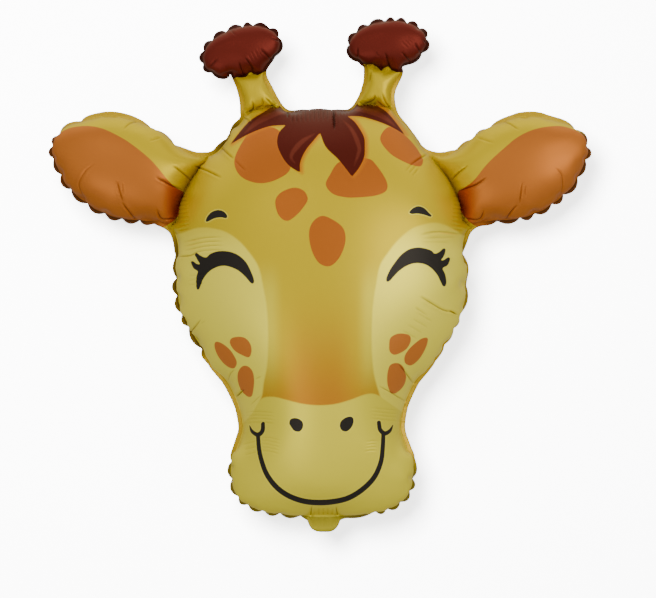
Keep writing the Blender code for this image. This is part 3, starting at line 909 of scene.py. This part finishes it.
# Drawn lines, with their widths at the start, in the middle and at the end
smile = [
    {"line": [(-110, -238), (-106, -247), (-97, -252), (-90, -246), (-89, -235)], "width": (1.5, 7.0, 6.2)},
    {"line": [(-97, -253), (-95, -276), (-90, -297), (-82, -316), (-68, -334), (-50, -347), (-29, -355),
              (-7, -358), (18, -357), (44, -351), (67, -337), (85, -318), (95, -295), (98, -273), (99, -251)],
     "width": (6.4, 9.0, 6.4)},
    {"line": [(92, -233), (94, -244), (101, -250), (109, -246), (114, -237)], "width": (6.2, 7.0, 1.5)},
]
maneShine = [
    {"line": [(-9, 218), (-28, 206), (-42, 190), (-45, 180), (-39, 172)], "width": (1, 8, 1)},
    {"line": [(35, 240), (50, 224), (61, 198), (59, 184), (53, 168)], "width": (1, 7, 1)},
    {"line": [(-118, 219), (-96, 238), (-70, 249), (-52, 252)], "width": (1, 10, 2)},
    {"line": [(48, 257), (78, 253), (100, 244), (118, 230)], "width": (2, 9, 1)},
]
eyePatches = [
    [(-238, 59), (-220, 62), (-192, 71), (-172, 71), (-148, 65), (-128, 52), (-114, 37), (-97, 12),
     (-89, -20), (-83, -55), (-81, -101), (-83, -145), (-88, -171), (-92, -195), (-117, -236),
     (-148, -249), (-203, -198), (-266, -88)],
    [(241, 57), (223, 60), (208, 70), (183, 79), (164, 77), (144, 70), (122, 52), (106, 32), (94, 13),
     (88, -16), (83, -48), (81, -82), (81, -118), (84, -154), (91, -182), (112, -233), (156, -249),
     (211, -198), (273, -88)],
]
muzzlePatch = [
    [(-131, -245), (-107, -220), (-99, -206), (-90, -195), (-83, -193), (-71, -193), (-51, -198),
     (-26, -204), (-1, -206), (24, -204), (49, -197), (71, -189), (83, -188), (92, -191), (102, -198),
     (113, -206), (127, -216), (144, -245), (188, -323), (156, -424), (0, -448), (-164, -424),
     (-180, -323)],
]
innerEars = [
    [(-214, 127), (-222, 132), (-233, 140.5), (-242, 151), (-253, 165), (-267, 180), (-285, 195),
     (-303, 208), (-321, 218), (-339, 226), (-357, 230), (-375, 230), (-393, 226.5), (-409, 218),
     (-424, 208), (-445, 193), (-445, 52), (-266, 66), (-238, 76), (-225, 86), (-212, 104)],
    [(216, 128), (224, 133), (237, 142), (246, 152), (256, 165), (270, 180), (288, 196), (306, 211),
     (324, 221), (342, 227), (362, 230), (378, 230), (396, 225), (412, 217), (427, 208), (453, 201),
     (453, 52), (266, 66), (240, 76), (228, 86), (217, 104)],
]
# Where a knob's lower lobes hang over its stem, from left to right
knobHems = [
    [(-139.5, 306), (-136, 304.5), (-130, 306.5), (-122, 306), (-115, 307.5), (-111, 312.5),
     (-108.5, 315), (-105, 312), (-98, 309.5), (-92, 312.5), (-86, 316), (-83.5, 316)],
    [(68, 326), (76, 326.5), (84, 326), (91, 321.5), (95.7, 316), (99.5, 320.5), (106.5, 324),
     (111.5, 317.5), (119.5, 314.5), (127, 314.5), (131.5, 316)],
]
# Sharp creases in the front film: each a depth and its line
creases = [
    (1.3, [(-257, 150), (-244, 144), (-231, 137), (-214, 130)]),
    (1.1, [(-229, 169), (-217, 159), (-202, 146)]), (0.7, [(-307, 225), (-297, 234.5), (-283, 238)]),
    (0.4, [(-267, 207), (-249, 212)]), (0.8, [(-156, 198), (-146, 188), (-135, 179)]),
    (0.4, [(-133, 177), (-125, 168), (-116, 160)]), (0.9, [(-318, 146), (-314, 131), (-308, 111)]),
    (0.5, [(-309, 143), (-308, 131), (-307, 121)]), (1.0, [(-309, 111), (-301, 99), (-287, 83)]),
    (0.5, [(-351, 172), (-366, 161), (-376, 143), (-375, 131), (-367, 116)]),
    (1.1, [(-255, 101), (-250, 88), (-242, 84), (-222, 87)]),
    (0.9, [(-197, 168), (-184, 163), (-172, 158), (-154, 149)]),
    (1.0, [(-222, 26), (-203, 28), (-191, 33)]), (0.9, [(-206, -97), (-195, -83), (-186, -72)]),
    (0.3, [(-198, -88), (-179, -73)]), (0.5, [(-144, -169), (-140, -157), (-133, -150)]),
    (0.8, [(-131, -193), (-120, -182)]), (0.35, [(-109, -206), (-92, -190)]),
    (0.4, [(-101, -165), (-92, -161)]), (1.3, [(261, 151), (244, 139), (231, 134), (214, 128)]),
    (1.1, [(231, 169), (215, 156), (205, 145)]), (0.7, [(285, 238), (299, 232.5), (310, 224)]),
    (0.4, [(245, 212), (271, 204)]), (0.9, [(316, 142), (314.5, 128), (312, 109)]),
    (0.5, [(321, 138), (321, 120)]), (1.0, [(308, 107), (297, 94), (290, 84)]),
    (0.5, [(368, 165), (378, 153), (379, 135), (375, 124)]),
    (1.1, [(256, 99), (251, 86), (239, 83.5), (224, 87)]), (0.8, [(168, 186), (154, 178), (141, 169)]),
    (0.6, [(157, 61), (187, 65), (224, 61)]), (0.3, [(170, 56), (212, 57)]),
    (1.0, [(219, -66), (208, -61), (192, -57), (173, -46), (156, -36)]),
    (0.4, [(148, -53), (168, -67)]), (0.9, [(202, -57), (214, -65)]),
    (0.9, [(122, -140), (135, -157), (147, -174)]), (0.4, [(123, -191), (134, -200)]),
    (0.8, [(92, -176), (114, -188), (134, -202)]), (0.7, [(-118, -181), (-131, -193)]),
    (1.0, [(-94, 351), (-82, 340), (-75, 331)]), (0.9, [(-117, 337), (-107, 323), (-104, 312)]),
    (0.9, [(-126, 330), (-123, 320), (-119, 309)]), (0.8, [(-160, 336), (-173, 322)]),
    (0.5, [(-140, 381), (-132, 372)]), (0.8, [(-76, 369), (-62, 362)]),
    (0.7, [(-133, 309), (-123, 286)]), (0.6, [(-86, 312), (-78, 288)]),
    (0.9, [(-114, 247), (-104, 258), (-106, 270)]), (0.8, [(-101, 258), (-89, 263), (-91, 274)]),
    (0.8, [(-90, 260), (-71, 262)]), (0.7, [(-86, 275), (-74, 262)]), (0.6, [(-124, 245), (-107, 238)]),
    (1.2, [(-50, 260), (-51, 244)]), (1.4, [(21, 256), (22, 240), (22.5, 225)]),
    (0.9, [(58, 353), (59, 336)]), (0.6, [(87, 348), (92, 338)]),
    (1.0, [(102, 346), (107, 329), (112, 317)]), (1.0, [(128, 346), (141, 330)]),
    (1.0, [(148, 361), (160, 340)]), (0.8, [(161, 366), (171, 353)]),
    (0.8, [(70, 264), (84, 271), (86, 279)]), (0.8, [(89, 269), (97, 262)]),
    (0.9, [(97, 281), (102, 268), (113, 253)]), (0.6, [(80, 317), (77, 298)]),
    (0.9, [(-13, -363), (-14.5, -377), (-21, -386)]), (0.9, [(25, -364), (26.5, -375), (33, -386)]),
]
# Bundles of fine folds side by side: depth, first line, how many, and the step from one to the next
wrinkles = [
    (0.48, [(-214, 49), (-184, 55), (-153, 57)], 4, (1, -6.5)),
    (0.22, [(-206, -4), (-180, -1)], 3, (0, -7)), (0.22, [(-226, 118), (-206, 121)], 9, (0.4, -6.3)),
    (0.22, [(228, 118), (208, 121)], 9, (-0.4, -6.3)), (0.22, [(158, 56), (205, 54)], 2, (0, -6)),
    (0.25, [(152, -62), (176, -76)], 4, (-8, -9)),
    (0.25, [(-118, -217), (-94, -216), (-70, -218)], 4, (0, -5.5)),
    (0.22, [(77, -210), (100, -212), (124, -214)], 4, (0, -5.5)),
    (0.2, [(-92, -256), (-78, -257), (-62, -261)], 5, (-0.5, -5.2)),
    (0.2, [(92, -262), (82, -262), (72, -264)], 4, (-1, -4.8)),
    (0.42, [(-44, 257), (-44, 236)], 9, (7, 0.3)), (0.42, [(28, 258), (30, 246)], 4, (5, 1)),
    (0.3, [(145, 172), (134, 160)], 3, (5, -4)), (0.22, [(-98, 353), (-90, 338)], 5, (-5, -3)),
    (0.22, [(128, 362), (138, 352)], 4, (4, 3)), (0.25, [(-9, -366), (-9, -378)], 5, (7, 0)),
    (0.2, [(-122, -268), (-100, -262)], 3, (2, -8)),
]
folding = {
    "halfWidth": 1.25,
    "shoulder": 0.5,       # the film swells beside a crease by this share of its depth
    "shoulderAt": 2.3,     # in half widths, as the next
    "shoulderWidth": 1.3,
    "endShare": 4,         # a crease thins out over the last of its length, a part in this many
    "endShape": 0.7,
}
printReach = 14  # millimetres, past which the distance to a shape isn't needed
hemReach = 10
fineWithin = {"print": 1.6, "fold": 2.4}  # millimetres from an edge or a crease where the film is finer


def within(points, line, reach):
    # The points inside a line's box, grown by the reach
    low, high = line.min(0) - reach, line.max(0) + reach
    return np.flatnonzero(((points > low) & (points < high)).all(1))


def shapeField(points, shapes, tips=()):
    # Distance in millimetres to the nearest shape's outline, below nought inside
    field = np.full(len(points), float(printReach))
    for shape in shapes:
        curve = smoothShape(shape, tips)
        near = within(points, curve, printReach)
        away = np.minimum(distanceTo(points[near], curve), printReach)
        away = np.where(inside(points[near], curve), -away, away)
        field[near] = np.minimum(field[near], away)
    return field


def lineField(points, lines):
    # Distance in millimetres to the edge of the nearest drawn line
    field = np.full(len(points), float(printReach))
    for drawnLine in lines:
        curve = smoothLine(drawnLine["line"])
        near = within(points, curve, printReach)
        run = runAlong(lengthsOf(np.diff(curve, axis=0)))
        first, middle, last = drawnLine["width"]
        widths = (first, 0.3 * first + 0.7 * middle, middle, 0.7 * middle + 0.3 * last, last)
        for away, along in stretches(points[near], curve, run / run[-1]):
            width = np.interp(along, (0, 0.25, 0.5, 0.75, 1), widths)
            field[near] = np.minimum(field[near], away - width / 2)
    return field


def inkDistance(points):
    return np.minimum(shapeField(points, eyes + brows + nostrils), lineField(points, smile))


def foldField(points):
    # Height of the creases above the smooth film, in millimetres, and the distance to the nearest
    wide = folding["halfWidth"]
    height, nearest = np.zeros(len(points)), np.full(len(points), 99.0)
    lines = creases + [(deep, [(x + k * right, y + k * up) for x, y in line])
                       for deep, line, count, (right, up) in wrinkles for k in range(count)]
    for deep, line in lines:
        curve = smoothLine(line, 3)
        near = within(points, curve, 6 * wide)
        run = runAlong(lengthsOf(np.diff(curve, axis=0)))
        best, place = np.full(len(near), np.inf), np.zeros(len(near))
        for away, along in stretches(points[near], curve, run):
            place = np.where(away < best, along, place)
            best = np.minimum(best, away)
        toEnd = folding["endShare"] * np.minimum(place, run[-1] - place) / run[-1]
        taper = np.clip(toEnd, 0, 1) ** folding["endShape"]
        beside = (best - folding["shoulderAt"] * wide) / (folding["shoulderWidth"] * wide)
        side = folding["shoulder"] * np.exp(-(beside**2))
        height[near] += deep * taper * (side - np.exp(-((best / wide) ** 2)))
        nearest[near] = np.minimum(nearest[near], best)
    return height, nearest


def knobField(points, onKnob):
    # Millimetres below a knob's hem, above it less than nought
    field = np.where(onKnob > 0.5, -hemReach, hemReach).astype(float)
    for hem in knobHems:
        hemX, hemY = np.transpose(hem)
        below = np.interp(points[:, 0], hemX, hemY) - points[:, 1]
        near = (points[:, 0] > hemX[0]) & (points[:, 0] < hemX[-1]) & (np.abs(below) < hemReach)
        field = np.where(near, below, field)
    return field


def needsDetail(plans):
    # The film's finer parts: along the ink's edges, the knobs' hems and the creases
    points, has = plans[:, :2] / mm, dict(zip(carried, plans.T))
    toPrint = np.minimum(np.abs(inkDistance(points)), np.abs(knobField(points, has["onKnob"])))
    fine = (toPrint < fineWithin["print"]) | (foldField(points)[1] < fineWithin["fold"])
    return fine & (has["fromSeam"] > -1 * mm)


def filmFields(plans, front):
    # What the material reads at each point: where it is on the film, and how far each printed shape is
    points, has = plans[:, :2] / mm, dict(zip(carried, plans.T))
    onHead = has["onHead"] > 0.5
    onHair = front & ((has["onHead"] > 0) | (has["fromSeam"] < 1e-6))
    prints = {
        "spotPrint": (front, shapeField(points, spots)),
        "manePrint": (onHair, shapeField(points, mane, maneTips)),
        "maneGlow": (onHair, shapeField(points - foil["glowShift"], mane, maneTips)),
        "maneShine": (front & onHead, lineField(points, maneShine)),
        "inkPrint": (front, inkDistance(points)),
        "eyePatch": (front, shapeField(points, eyePatches)),
        "muzzlePrint": (front, shapeField(points, muzzlePatch)),
        "innerEar": (~onHead, shapeField(points, innerEars)),
    }
    fields = {name: np.where(shown, field, printReach) for name, (shown, field) in prints.items()}
    fields["frontFilm"] = front
    fields["foldDepth"] = np.where(front & (has["fromSeam"] > 0), foldField(points)[0], 0)
    fields["fromSeam"], fields["alongSeam"] = has["fromSeam"] / mm, has["alongSeam"] / mm
    fields["marginPaintedShade"], fields["marginGold"] = has["marginPaintedShade"], has["marginGold"]
    fields["knobPrint"] = knobField(points, has["onKnob"])
    return fields


def paint(*colour):
    # A colour as the eye names it, 0 to 255, in the renderer's own scale
    return tuple(c / 255 / 12.92 if c < 11 else ((c / 255 + 0.055) / 1.055) ** 2.4 for c in colour) + (1,)


foil = {
    "yellow": paint(209, 181, 22),
    "cream": paint(249, 233, 74),
    "muzzle": paint(234, 217, 58),
    "strip": paint(228, 210, 58),
    "bridge": paint(196, 128, 30),
    "spot": paint(183, 100, 34),
    "cheekSpot": paint(202, 118, 48),
    "ear": paint(188, 108, 42),
    # Painted shade: the inner ear goes darker and redder towards its root
    "earRoot": paint(166, 60, 24),
    "mane": paint(84, 28, 20),
    "maneShine": paint(108, 46, 32),
    "knob": paint(104, 36, 28),
    "ink": paint(45, 42, 38),
    "inkEdge": paint(240, 224, 84),
    "halo": paint(206, 116, 24),
    "glowShift": (3.0, 0.5),   # the orange glow beside the hair, in millimetres to the right and up
    "margin": paint(206, 168, 34),
    # The colour of painted shadow, on the margin's lobes and under a knob's lobes
    "paintedShadow": paint(36, 12, 6),
    # Painted shade laid into the creases
    "foldShadeColour": (0.42, 0.36, 0.30, 1),
    "metal": 0.5,
    "roughness": 0.38,
    "gloss": 0.15,
    "edgeTint": (0.80, 0.62, 0.40, 1),
    "edge": 0.35,          # half the softness of a printed edge, in millimetres
    "hairStep": 3.2,       # millimetres from one hairline fold to the next
    "hairReach": 9,
    "hairHeight": 0.9,
}
# Where the print's gradients and the painted shade begin and end, in drawn metres, and how strong each is
shading = {
    "bridgeTop": (0.03, -0.04),
    "bridgeDown": (0.02, -0.215),
    "bridgeCurve": 1.25,
    "bridgeSide": (0.02, 0.08),
    "bridgeSideEnd": (-0.26, -0.10),
    "strip": (0.055, 0.078),
    "stripEnd": (-0.21, -0.14),
    "stripStrength": 0.7,
    "patchTop": (0.03, 0.085),
    "patchFade": 0.5,
    # Painted shade at the ears' roots: where it begins and where it is full
    "earRoot": (0.248, 0.226),
    "earRootShadeStrength": 0.8,
    "glowStrength": 0.85,
    "inkEdgeStrength": 0.75,
    "underLobeShadow": (-7, -0.5),  # painted shadow under a knob's lobes, in millimetres below its hem
    "underLobeShadowStrength": 0.75,
    # Edges that aren't at nought: the level of the field and half its softness, in millimetres
    "glowEdge": (2.0, 3.0),
    "shineEdge": (0, 1.2),
    "patchEdge": (0, 1.5),
    "muzzleEdge": (0, 1),
    "inkRim": (1.5, 0.5),
    "foldShadeEdge": (-0.5, 0.5),
    "goldFrom": -0.2,
    # Where the margin's painted shade begins past the weld, in millimetres
    "paintedShadeFrom": -0.6,
}


def setInputs(node, inputs):
    # Another node's output is linked, and anything else is set on the socket itself
    for name, value in inputs.items():
        if isinstance(value, bpy.types.NodeSocket):
            node.id_data.links.new(value, node.inputs[name])
        else:
            node.inputs[name].default_value = value


def nodeTools(tree):
    # Short ways to add a node to one tree
    def put(kind, inputs=None, **settings):
        node = tree.nodes.new(kind)
        for name, value in settings.items():
            setattr(node, name, value)
        setInputs(node, inputs or {})
        return node

    def maths(kind, a, b=0.0):
        return put("ShaderNodeMath", {0: a, 1: b}, operation=kind).outputs[0]

    def product(first, *others):
        for value in others:
            first = maths("MULTIPLY", first, value)
        return first

    def between(value, ends):
        # 0 before the first end and 1 past the second, with a soft step between
        inputs = {"Value": value, "From Min": ends[0], "From Max": ends[1]}
        return put("ShaderNodeMapRange", inputs, interpolation_type="SMOOTHSTEP").outputs["Result"]

    return put, maths, product, between


def foilMaterial():
    made = bpy.data.materials.new("printed_foil_film")
    made.use_nodes = True
    tree = made.node_tree
    put, maths, product, between = nodeTools(tree)

    def read(name):
        return put("ShaderNodeAttribute", attribute_name=name).outputs["Fac"]

    def mask(source, level=0.0, soft=foil["edge"]):
        # 1 where the field is below the level
        ends = {"From Min": level - soft, "From Max": level + soft, "To Min": 1, "To Max": 0}
        return put("ShaderNodeMapRange", {"Value": source, **ends}).outputs["Result"]

    def lay(base, colour, amount, way="MIX"):
        inputs = {6: base, 7: colour, 0: amount}
        return put("ShaderNodeMix", inputs, data_type="RGBA", blend_type=way).outputs[2]

    drawn = put("ShaderNodeUVMap", uv_map="drawn").outputs["UV"]
    x, y = put("ShaderNodeSeparateXYZ", {0: drawn}).outputs[:2]
    front, fromSeam, spot = read("frontFilm"), read("fromSeam"), read("spotPrint")
    ink, knob, patch = read("inkPrint"), read("knobPrint"), read("eyePatch")
    # The bridge of the nose deepens from yellow to orange as it goes down, between two paler strips
    fromMiddle = maths("ABSOLUTE", maths("ADD", x, 0.001))
    onBridge = product(between(y, shading["bridgeTop"]), front)
    strips = product(between(fromMiddle, shading["strip"]), onBridge, between(y, shading["stripEnd"]))
    colour = lay(foil["yellow"], foil["strip"], product(strips, shading["stripStrength"]))
    beside = product(between(fromMiddle, shading["bridgeSide"]), between(y, shading["bridgeSideEnd"]))
    down = maths("POWER", between(y, shading["bridgeDown"]), shading["bridgeCurve"])
    colour = lay(colour, foil["bridge"], product(maths("SUBTRACT", 1, beside), down, front))
    colour = lay(colour, foil["spot"], mask(spot))
    glow = product(mask(read("maneGlow"), *shading["glowEdge"]), shading["glowStrength"])
    colour = lay(colour, foil["halo"], glow)
    colour = lay(colour, foil["mane"], mask(read("manePrint")))
    colour = lay(colour, foil["maneShine"], mask(read("maneShine"), *shading["shineEdge"]))
    paleness = maths("SUBTRACT", 1, product(between(y, shading["patchTop"]), shading["patchFade"]))
    colour = lay(colour, foil["cream"], product(mask(patch, *shading["patchEdge"]), paleness))
    colour = lay(colour, foil["cheekSpot"], mask(maths("MAXIMUM", spot, patch)))
    colour = lay(colour, foil["muzzle"], mask(read("muzzlePrint"), *shading["muzzleEdge"]))
    inkRim = product(mask(ink, *shading["inkRim"]), shading["inkEdgeStrength"])
    colour = lay(colour, foil["inkEdge"], inkRim)
    colour = lay(colour, foil["ink"], mask(ink))
    colour = lay(colour, foil["margin"], product(read("marginGold"), mask(fromSeam, shading["goldFrom"])))
    # Painted shade: the inner ear darkens towards its root
    rootShade = product(between(maths("ABSOLUTE", x), shading["earRoot"]), shading["earRootShadeStrength"])
    colour = lay(colour, lay(foil["ear"], foil["earRoot"], rootShade), mask(read("innerEar")))
    colour = lay(colour, foil["knob"], mask(knob))
    # Painted shadow: a dark band just under a knob's lobes, where they hang over the stem
    underLobeShadow = product(between(knob, shading["underLobeShadow"]), mask(knob), shading["underLobeShadowStrength"])
    colour = lay(colour, foil["paintedShadow"], underLobeShadow)
    # Painted shade darkening the film in its creases
    paintedFoldShade = mask(read("foldDepth"), *shading["foldShadeEdge"])
    colour = lay(colour, foil["foldShadeColour"], paintedFoldShade, "MULTIPLY")
    # Painted shade and dark reflection on the margin outside the weld
    marginShadeAmount = product(read("marginPaintedShade"), mask(fromSeam, shading["paintedShadeFrom"]))
    colour = lay(colour, foil["paintedShadow"], marginShadeAmount)
    # Hairline folds that run in from the weld, too fine for the film's own points
    steps = [maths("DIVIDE", read("alongSeam"), foil["hairStep"]),
             maths("DIVIDE", fromSeam, foil["hairStep"] * 6)]
    place = put("ShaderNodeCombineXYZ", dict(enumerate(steps))).outputs[0]
    inputs = {"Vector": place, "Scale": 1, "Detail": 1.5}
    hair = put("ShaderNodeTexNoise", inputs, noise_dimensions="2D")
    fading = maths("EXPONENT", maths("DIVIDE", maths("ABSOLUTE", fromSeam), -foil["hairReach"]))
    bump = put("ShaderNodeBump", {"Strength": 1, "Distance": foil["hairHeight"] * mm,
                                  "Height": product(hair.outputs[0], fading)})
    setInputs(tree.nodes["Principled BSDF"], {
        "Base Color": colour, "Normal": bump.outputs[0], "Metallic": foil["metal"],
        "Roughness": foil["roughness"], "Specular IOR Level": foil["gloss"],
        "Specular Tint": foil["edgeTint"]})
    return made


# How deep the creases are pressed, and the ripples' height, spacing, rise and fade away from the weld
pressing = {"Fold": 1.7, "Ripple": 0.35, "Spacing": 13.0, "Onset": 0.3, "Reach": 16.0, "Seed": 4}


def pressFolds(piece):
    # Presses the creases into the film, and ripples that run in from the weld
    tree = bpy.data.node_groups.new("pressedFolds", "GeometryNodeTree")
    put, maths, product, _ = nodeTools(tree)
    for way in ("INPUT", "OUTPUT"):
        tree.interface.new_socket("Geometry", in_out=way, socket_type="NodeSocketGeometry")
    for name, value in pressing.items():
        kind = "NodeSocketInt" if isinstance(value, int) else "NodeSocketFloat"
        tree.interface.new_socket(name, in_out="INPUT", socket_type=kind)
    given = put("NodeGroupInput").outputs

    def named(name):
        node = put("GeometryNodeInputNamedAttribute", {"Name": name}, data_type="FLOAT")
        return node.outputs["Attribute"]

    depth = maths("MULTIPLY", maths("MAXIMUM", named("fromSeam"), 0.0), -1.0)
    place = put("ShaderNodeCombineXYZ", {0: maths("DIVIDE", named("alongSeam"), given["Spacing"]),
                                         1: maths("ADD", given["Seed"], named("frontFilm"))})
    inputs = {"Vector": place.outputs[0], "Scale": 1.0, "Detail": 1.0}
    noise = put("ShaderNodeTexNoise", inputs, noise_dimensions="2D")
    swing = maths("MULTIPLY", maths("SUBTRACT", noise.outputs[0], 0.5), 2.0)
    fade = maths("EXPONENT", maths("DIVIDE", depth, given["Reach"]))
    rise = maths("SUBTRACT", 1.0, maths("EXPONENT", product(depth, given["Onset"])))
    ripple = product(swing, fade, rise, given["Ripple"])
    push = product(maths("ADD", ripple, product(named("foldDepth"), given["Fold"])), mm)
    outwards = put("GeometryNodeInputNormal").outputs[0]
    away = put("ShaderNodeVectorMath", {0: outwards, "Scale": push}, operation="SCALE").outputs[0]
    moved = put("GeometryNodeSetPosition", {"Geometry": given["Geometry"], "Offset": away})
    realized = put("GeometryNodeRealizeInstances", {0: moved.outputs[0]})
    painted = put("GeometryNodeSetMaterial", {"Geometry": realized.outputs[0],
                                              "Material": piece.data.materials[0]})
    put("NodeGroupOutput", {0: painted.outputs[0]})
    modifier = piece.modifiers.new("pressedFolds", "NODES")
    modifier.node_group = tree
    for item in tree.interface.items_tree:
        if item.in_out == "INPUT" and item.name in pressing:
            modifier[item.identifier] = pressing[item.name]
    done = bpy.data.meshes.new_from_object(piece.evaluated_get(bpy.context.evaluated_depsgraph_get()))
    piece.modifiers.remove(modifier)
    piece.data = done


def makeFilm():
    ring, cut = weldRing()
    cuts = [cutAcross(ring, line) for line in rootLines()]
    at = len(ring)
    for c in cuts:
        c["ids"] = list(range(at, at + len(c["points"])))
        at += len(c["points"])
    seam = np.vstack([ring] + [c["points"] for c in cuts])
    loops = chamberLoops(len(ring), cuts)
    print("seam of", len(seam), "points round", len(loops), "chambers")
    sheet = assemble(ring, cut, seam, [inflateChamber(ids, seam[ids]) for ids in loops])
    seedPuckers(sheet, ring)
    print("sheet of", len(sheet["x"]), "points with its first puckers")
    relax(sheet, ring)
    places, plans, triangles, front = closedFilm(sheet, ring)
    print("closed film of", len(triangles), "triangles")
    mesh = bpy.data.meshes.new("balloon_film")
    mesh.from_pydata(places.tolist(), [], triangles.tolist())
    mesh.shade_smooth()
    for name, values in filmFields(plans, front).items():
        layer = mesh.attributes.new(name, "FLOAT", "POINT")
        layer.data.foreach_set("value", values.astype(np.float32))
    drawnMap = mesh.uv_layers.new(name="drawn")
    corners = np.zeros(len(mesh.loops), int)
    mesh.loops.foreach_get("vertex_index", corners)
    drawnMap.data.foreach_set("uv", plans[corners, :2].astype(np.float32).ravel())
    mesh.materials.append(foilMaterial())
    piece = bpy.data.objects.new("balloon_film", mesh)
    bpy.context.collection.objects.link(piece)
    pressFolds(piece)
    print("printed and creased,", len(piece.data.vertices), "points")
    return piece


balloon = makeFilm()
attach(balloon, "root")
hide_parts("balloon")

studio = {
    "floorHalf": 6,
    "floorGrey": 0.90,
    "floorRoughness": 0.9,
    "floorGlow": 2.6,      # the floor is lit from below a little, as a light table is
    "sky": [(0.0, 0.54), (0.35, 0.54), (0.70, 0.98), (1.0, 1.0)],  # brightness by height above the horizon
    "skyStrength": 0.85,
    "paleWall": 1.2,       # what stands low behind the crown, beyond the sky's own brightness
    "wallFrom": (0.1, 0.9),
    "wallTop": (0.45, 0.05),
    "lampAim": (0, 0, 0.1),
    # Each lamp's place, size in metres and watts. The overhead lights the floor alone.
    "lamps": {
        "key": ((-1.3, 2.0, 3.4), 1.4, 55),
        "sheen": ((2.4, 0.35, 2.4), 2.2, 40),
        "fill": ((-1.4, -1.6, 2.7), 1.5, 10),
        "overhead": ((-0.5, 0.6, 3.3), 0.9, 1100),
    },
    "unseenInFilm": ("key", "overhead"),  # these only shade, and leave the sheen to the broad box
}

half = studio["floorHalf"]
floorCorners = [(-half, -half, 0), (half, -half, 0), (half, half, 0), (-half, half, 0)]
floorMesh = bpy.data.meshes.new("floor")
floorMesh.from_pydata(floorCorners, [], [(0, 1, 2, 3)])
floor = bpy.data.objects.new("floor", floorMesh)
bpy.context.collection.objects.link(floor)
floor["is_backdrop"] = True
floor.visible_glossy = floor.visible_diffuse = False  # the film's turned-down sides stay deep in colour
white = bpy.data.materials.new("floor_white")
white.use_nodes = True
setInputs(white.node_tree.nodes["Principled BSDF"], {
    "Base Color": (studio["floorGrey"],) * 3 + (1,), "Roughness": studio["floorRoughness"],
    "Specular IOR Level": 0, "Emission Color": (1, 1, 1, 1), "Emission Strength": studio["floorGlow"]})
floorMesh.materials.append(white)


def makeSky():
    world = bpy.data.worlds.new("studio")
    bpy.context.scene.world = world
    world.use_nodes = True
    put, _, product, between = nodeTools(world.node_tree)
    direction = put("ShaderNodeTexCoord").outputs["Generated"]
    _, depth, height = put("ShaderNodeSeparateXYZ", {0: direction}).outputs
    ramp = put("ShaderNodeValToRGB", {0: height})
    stops = ramp.color_ramp.elements
    while len(stops) < len(studio["sky"]):
        stops.new(0.5)
    for stop, (at, grey) in zip(stops, studio["sky"]):
        stop.position, stop.color = at, (grey, grey, grey, 1)
    behind = product(between(depth, studio["wallFrom"]), between(height, studio["wallTop"]))
    inputs = {0: behind, 1: studio["paleWall"], 2: ramp.outputs[0]}
    brighter = put("ShaderNodeMath", inputs, operation="MULTIPLY_ADD").outputs[0]
    background = world.node_tree.nodes["Background"]
    setInputs(background, {"Color": brighter, "Strength": studio["skyStrength"]})


makeSky()
for name, (place, size, watts) in studio["lamps"].items():
    light = bpy.data.lights.new(name, "AREA")
    light.shape, light.size, light.size_y, light.energy = "RECTANGLE", size, size, watts
    lamp = bpy.data.objects.new(name, light)
    lamp.location = place
    toAim = Vector((0, 0, 0) if name == "overhead" else studio["lampAim"]) - Vector(place)
    lamp.rotation_euler = toAim.to_track_quat("-Z", "Y").to_euler()
    lamp.visible_glossy = name not in studio["unseenInFilm"]
    bpy.context.collection.objects.link(lamp)
floorOnly = bpy.data.collections.new("floorOnly")
floorOnly.objects.link(floor)
bpy.data.objects["overhead"].light_linking.receiver_collection = floorOnly

lens = bpy.data.cameras.new("camera")
lens.sensor_width = 36
lens.lens = 36 * (view["place"][2] - seamHeight) / view["width"]
camera = bpy.data.objects.new("camera", lens)
camera.location = view["place"]
bpy.context.collection.objects.link(camera)
bpy.context.scene.camera = camera
print("studio and camera ready")

boxes = {"cad": cadBox, "visual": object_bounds()}
{name: [list(map(float, corner)) for corner in box] for name, box in boxes.items()}
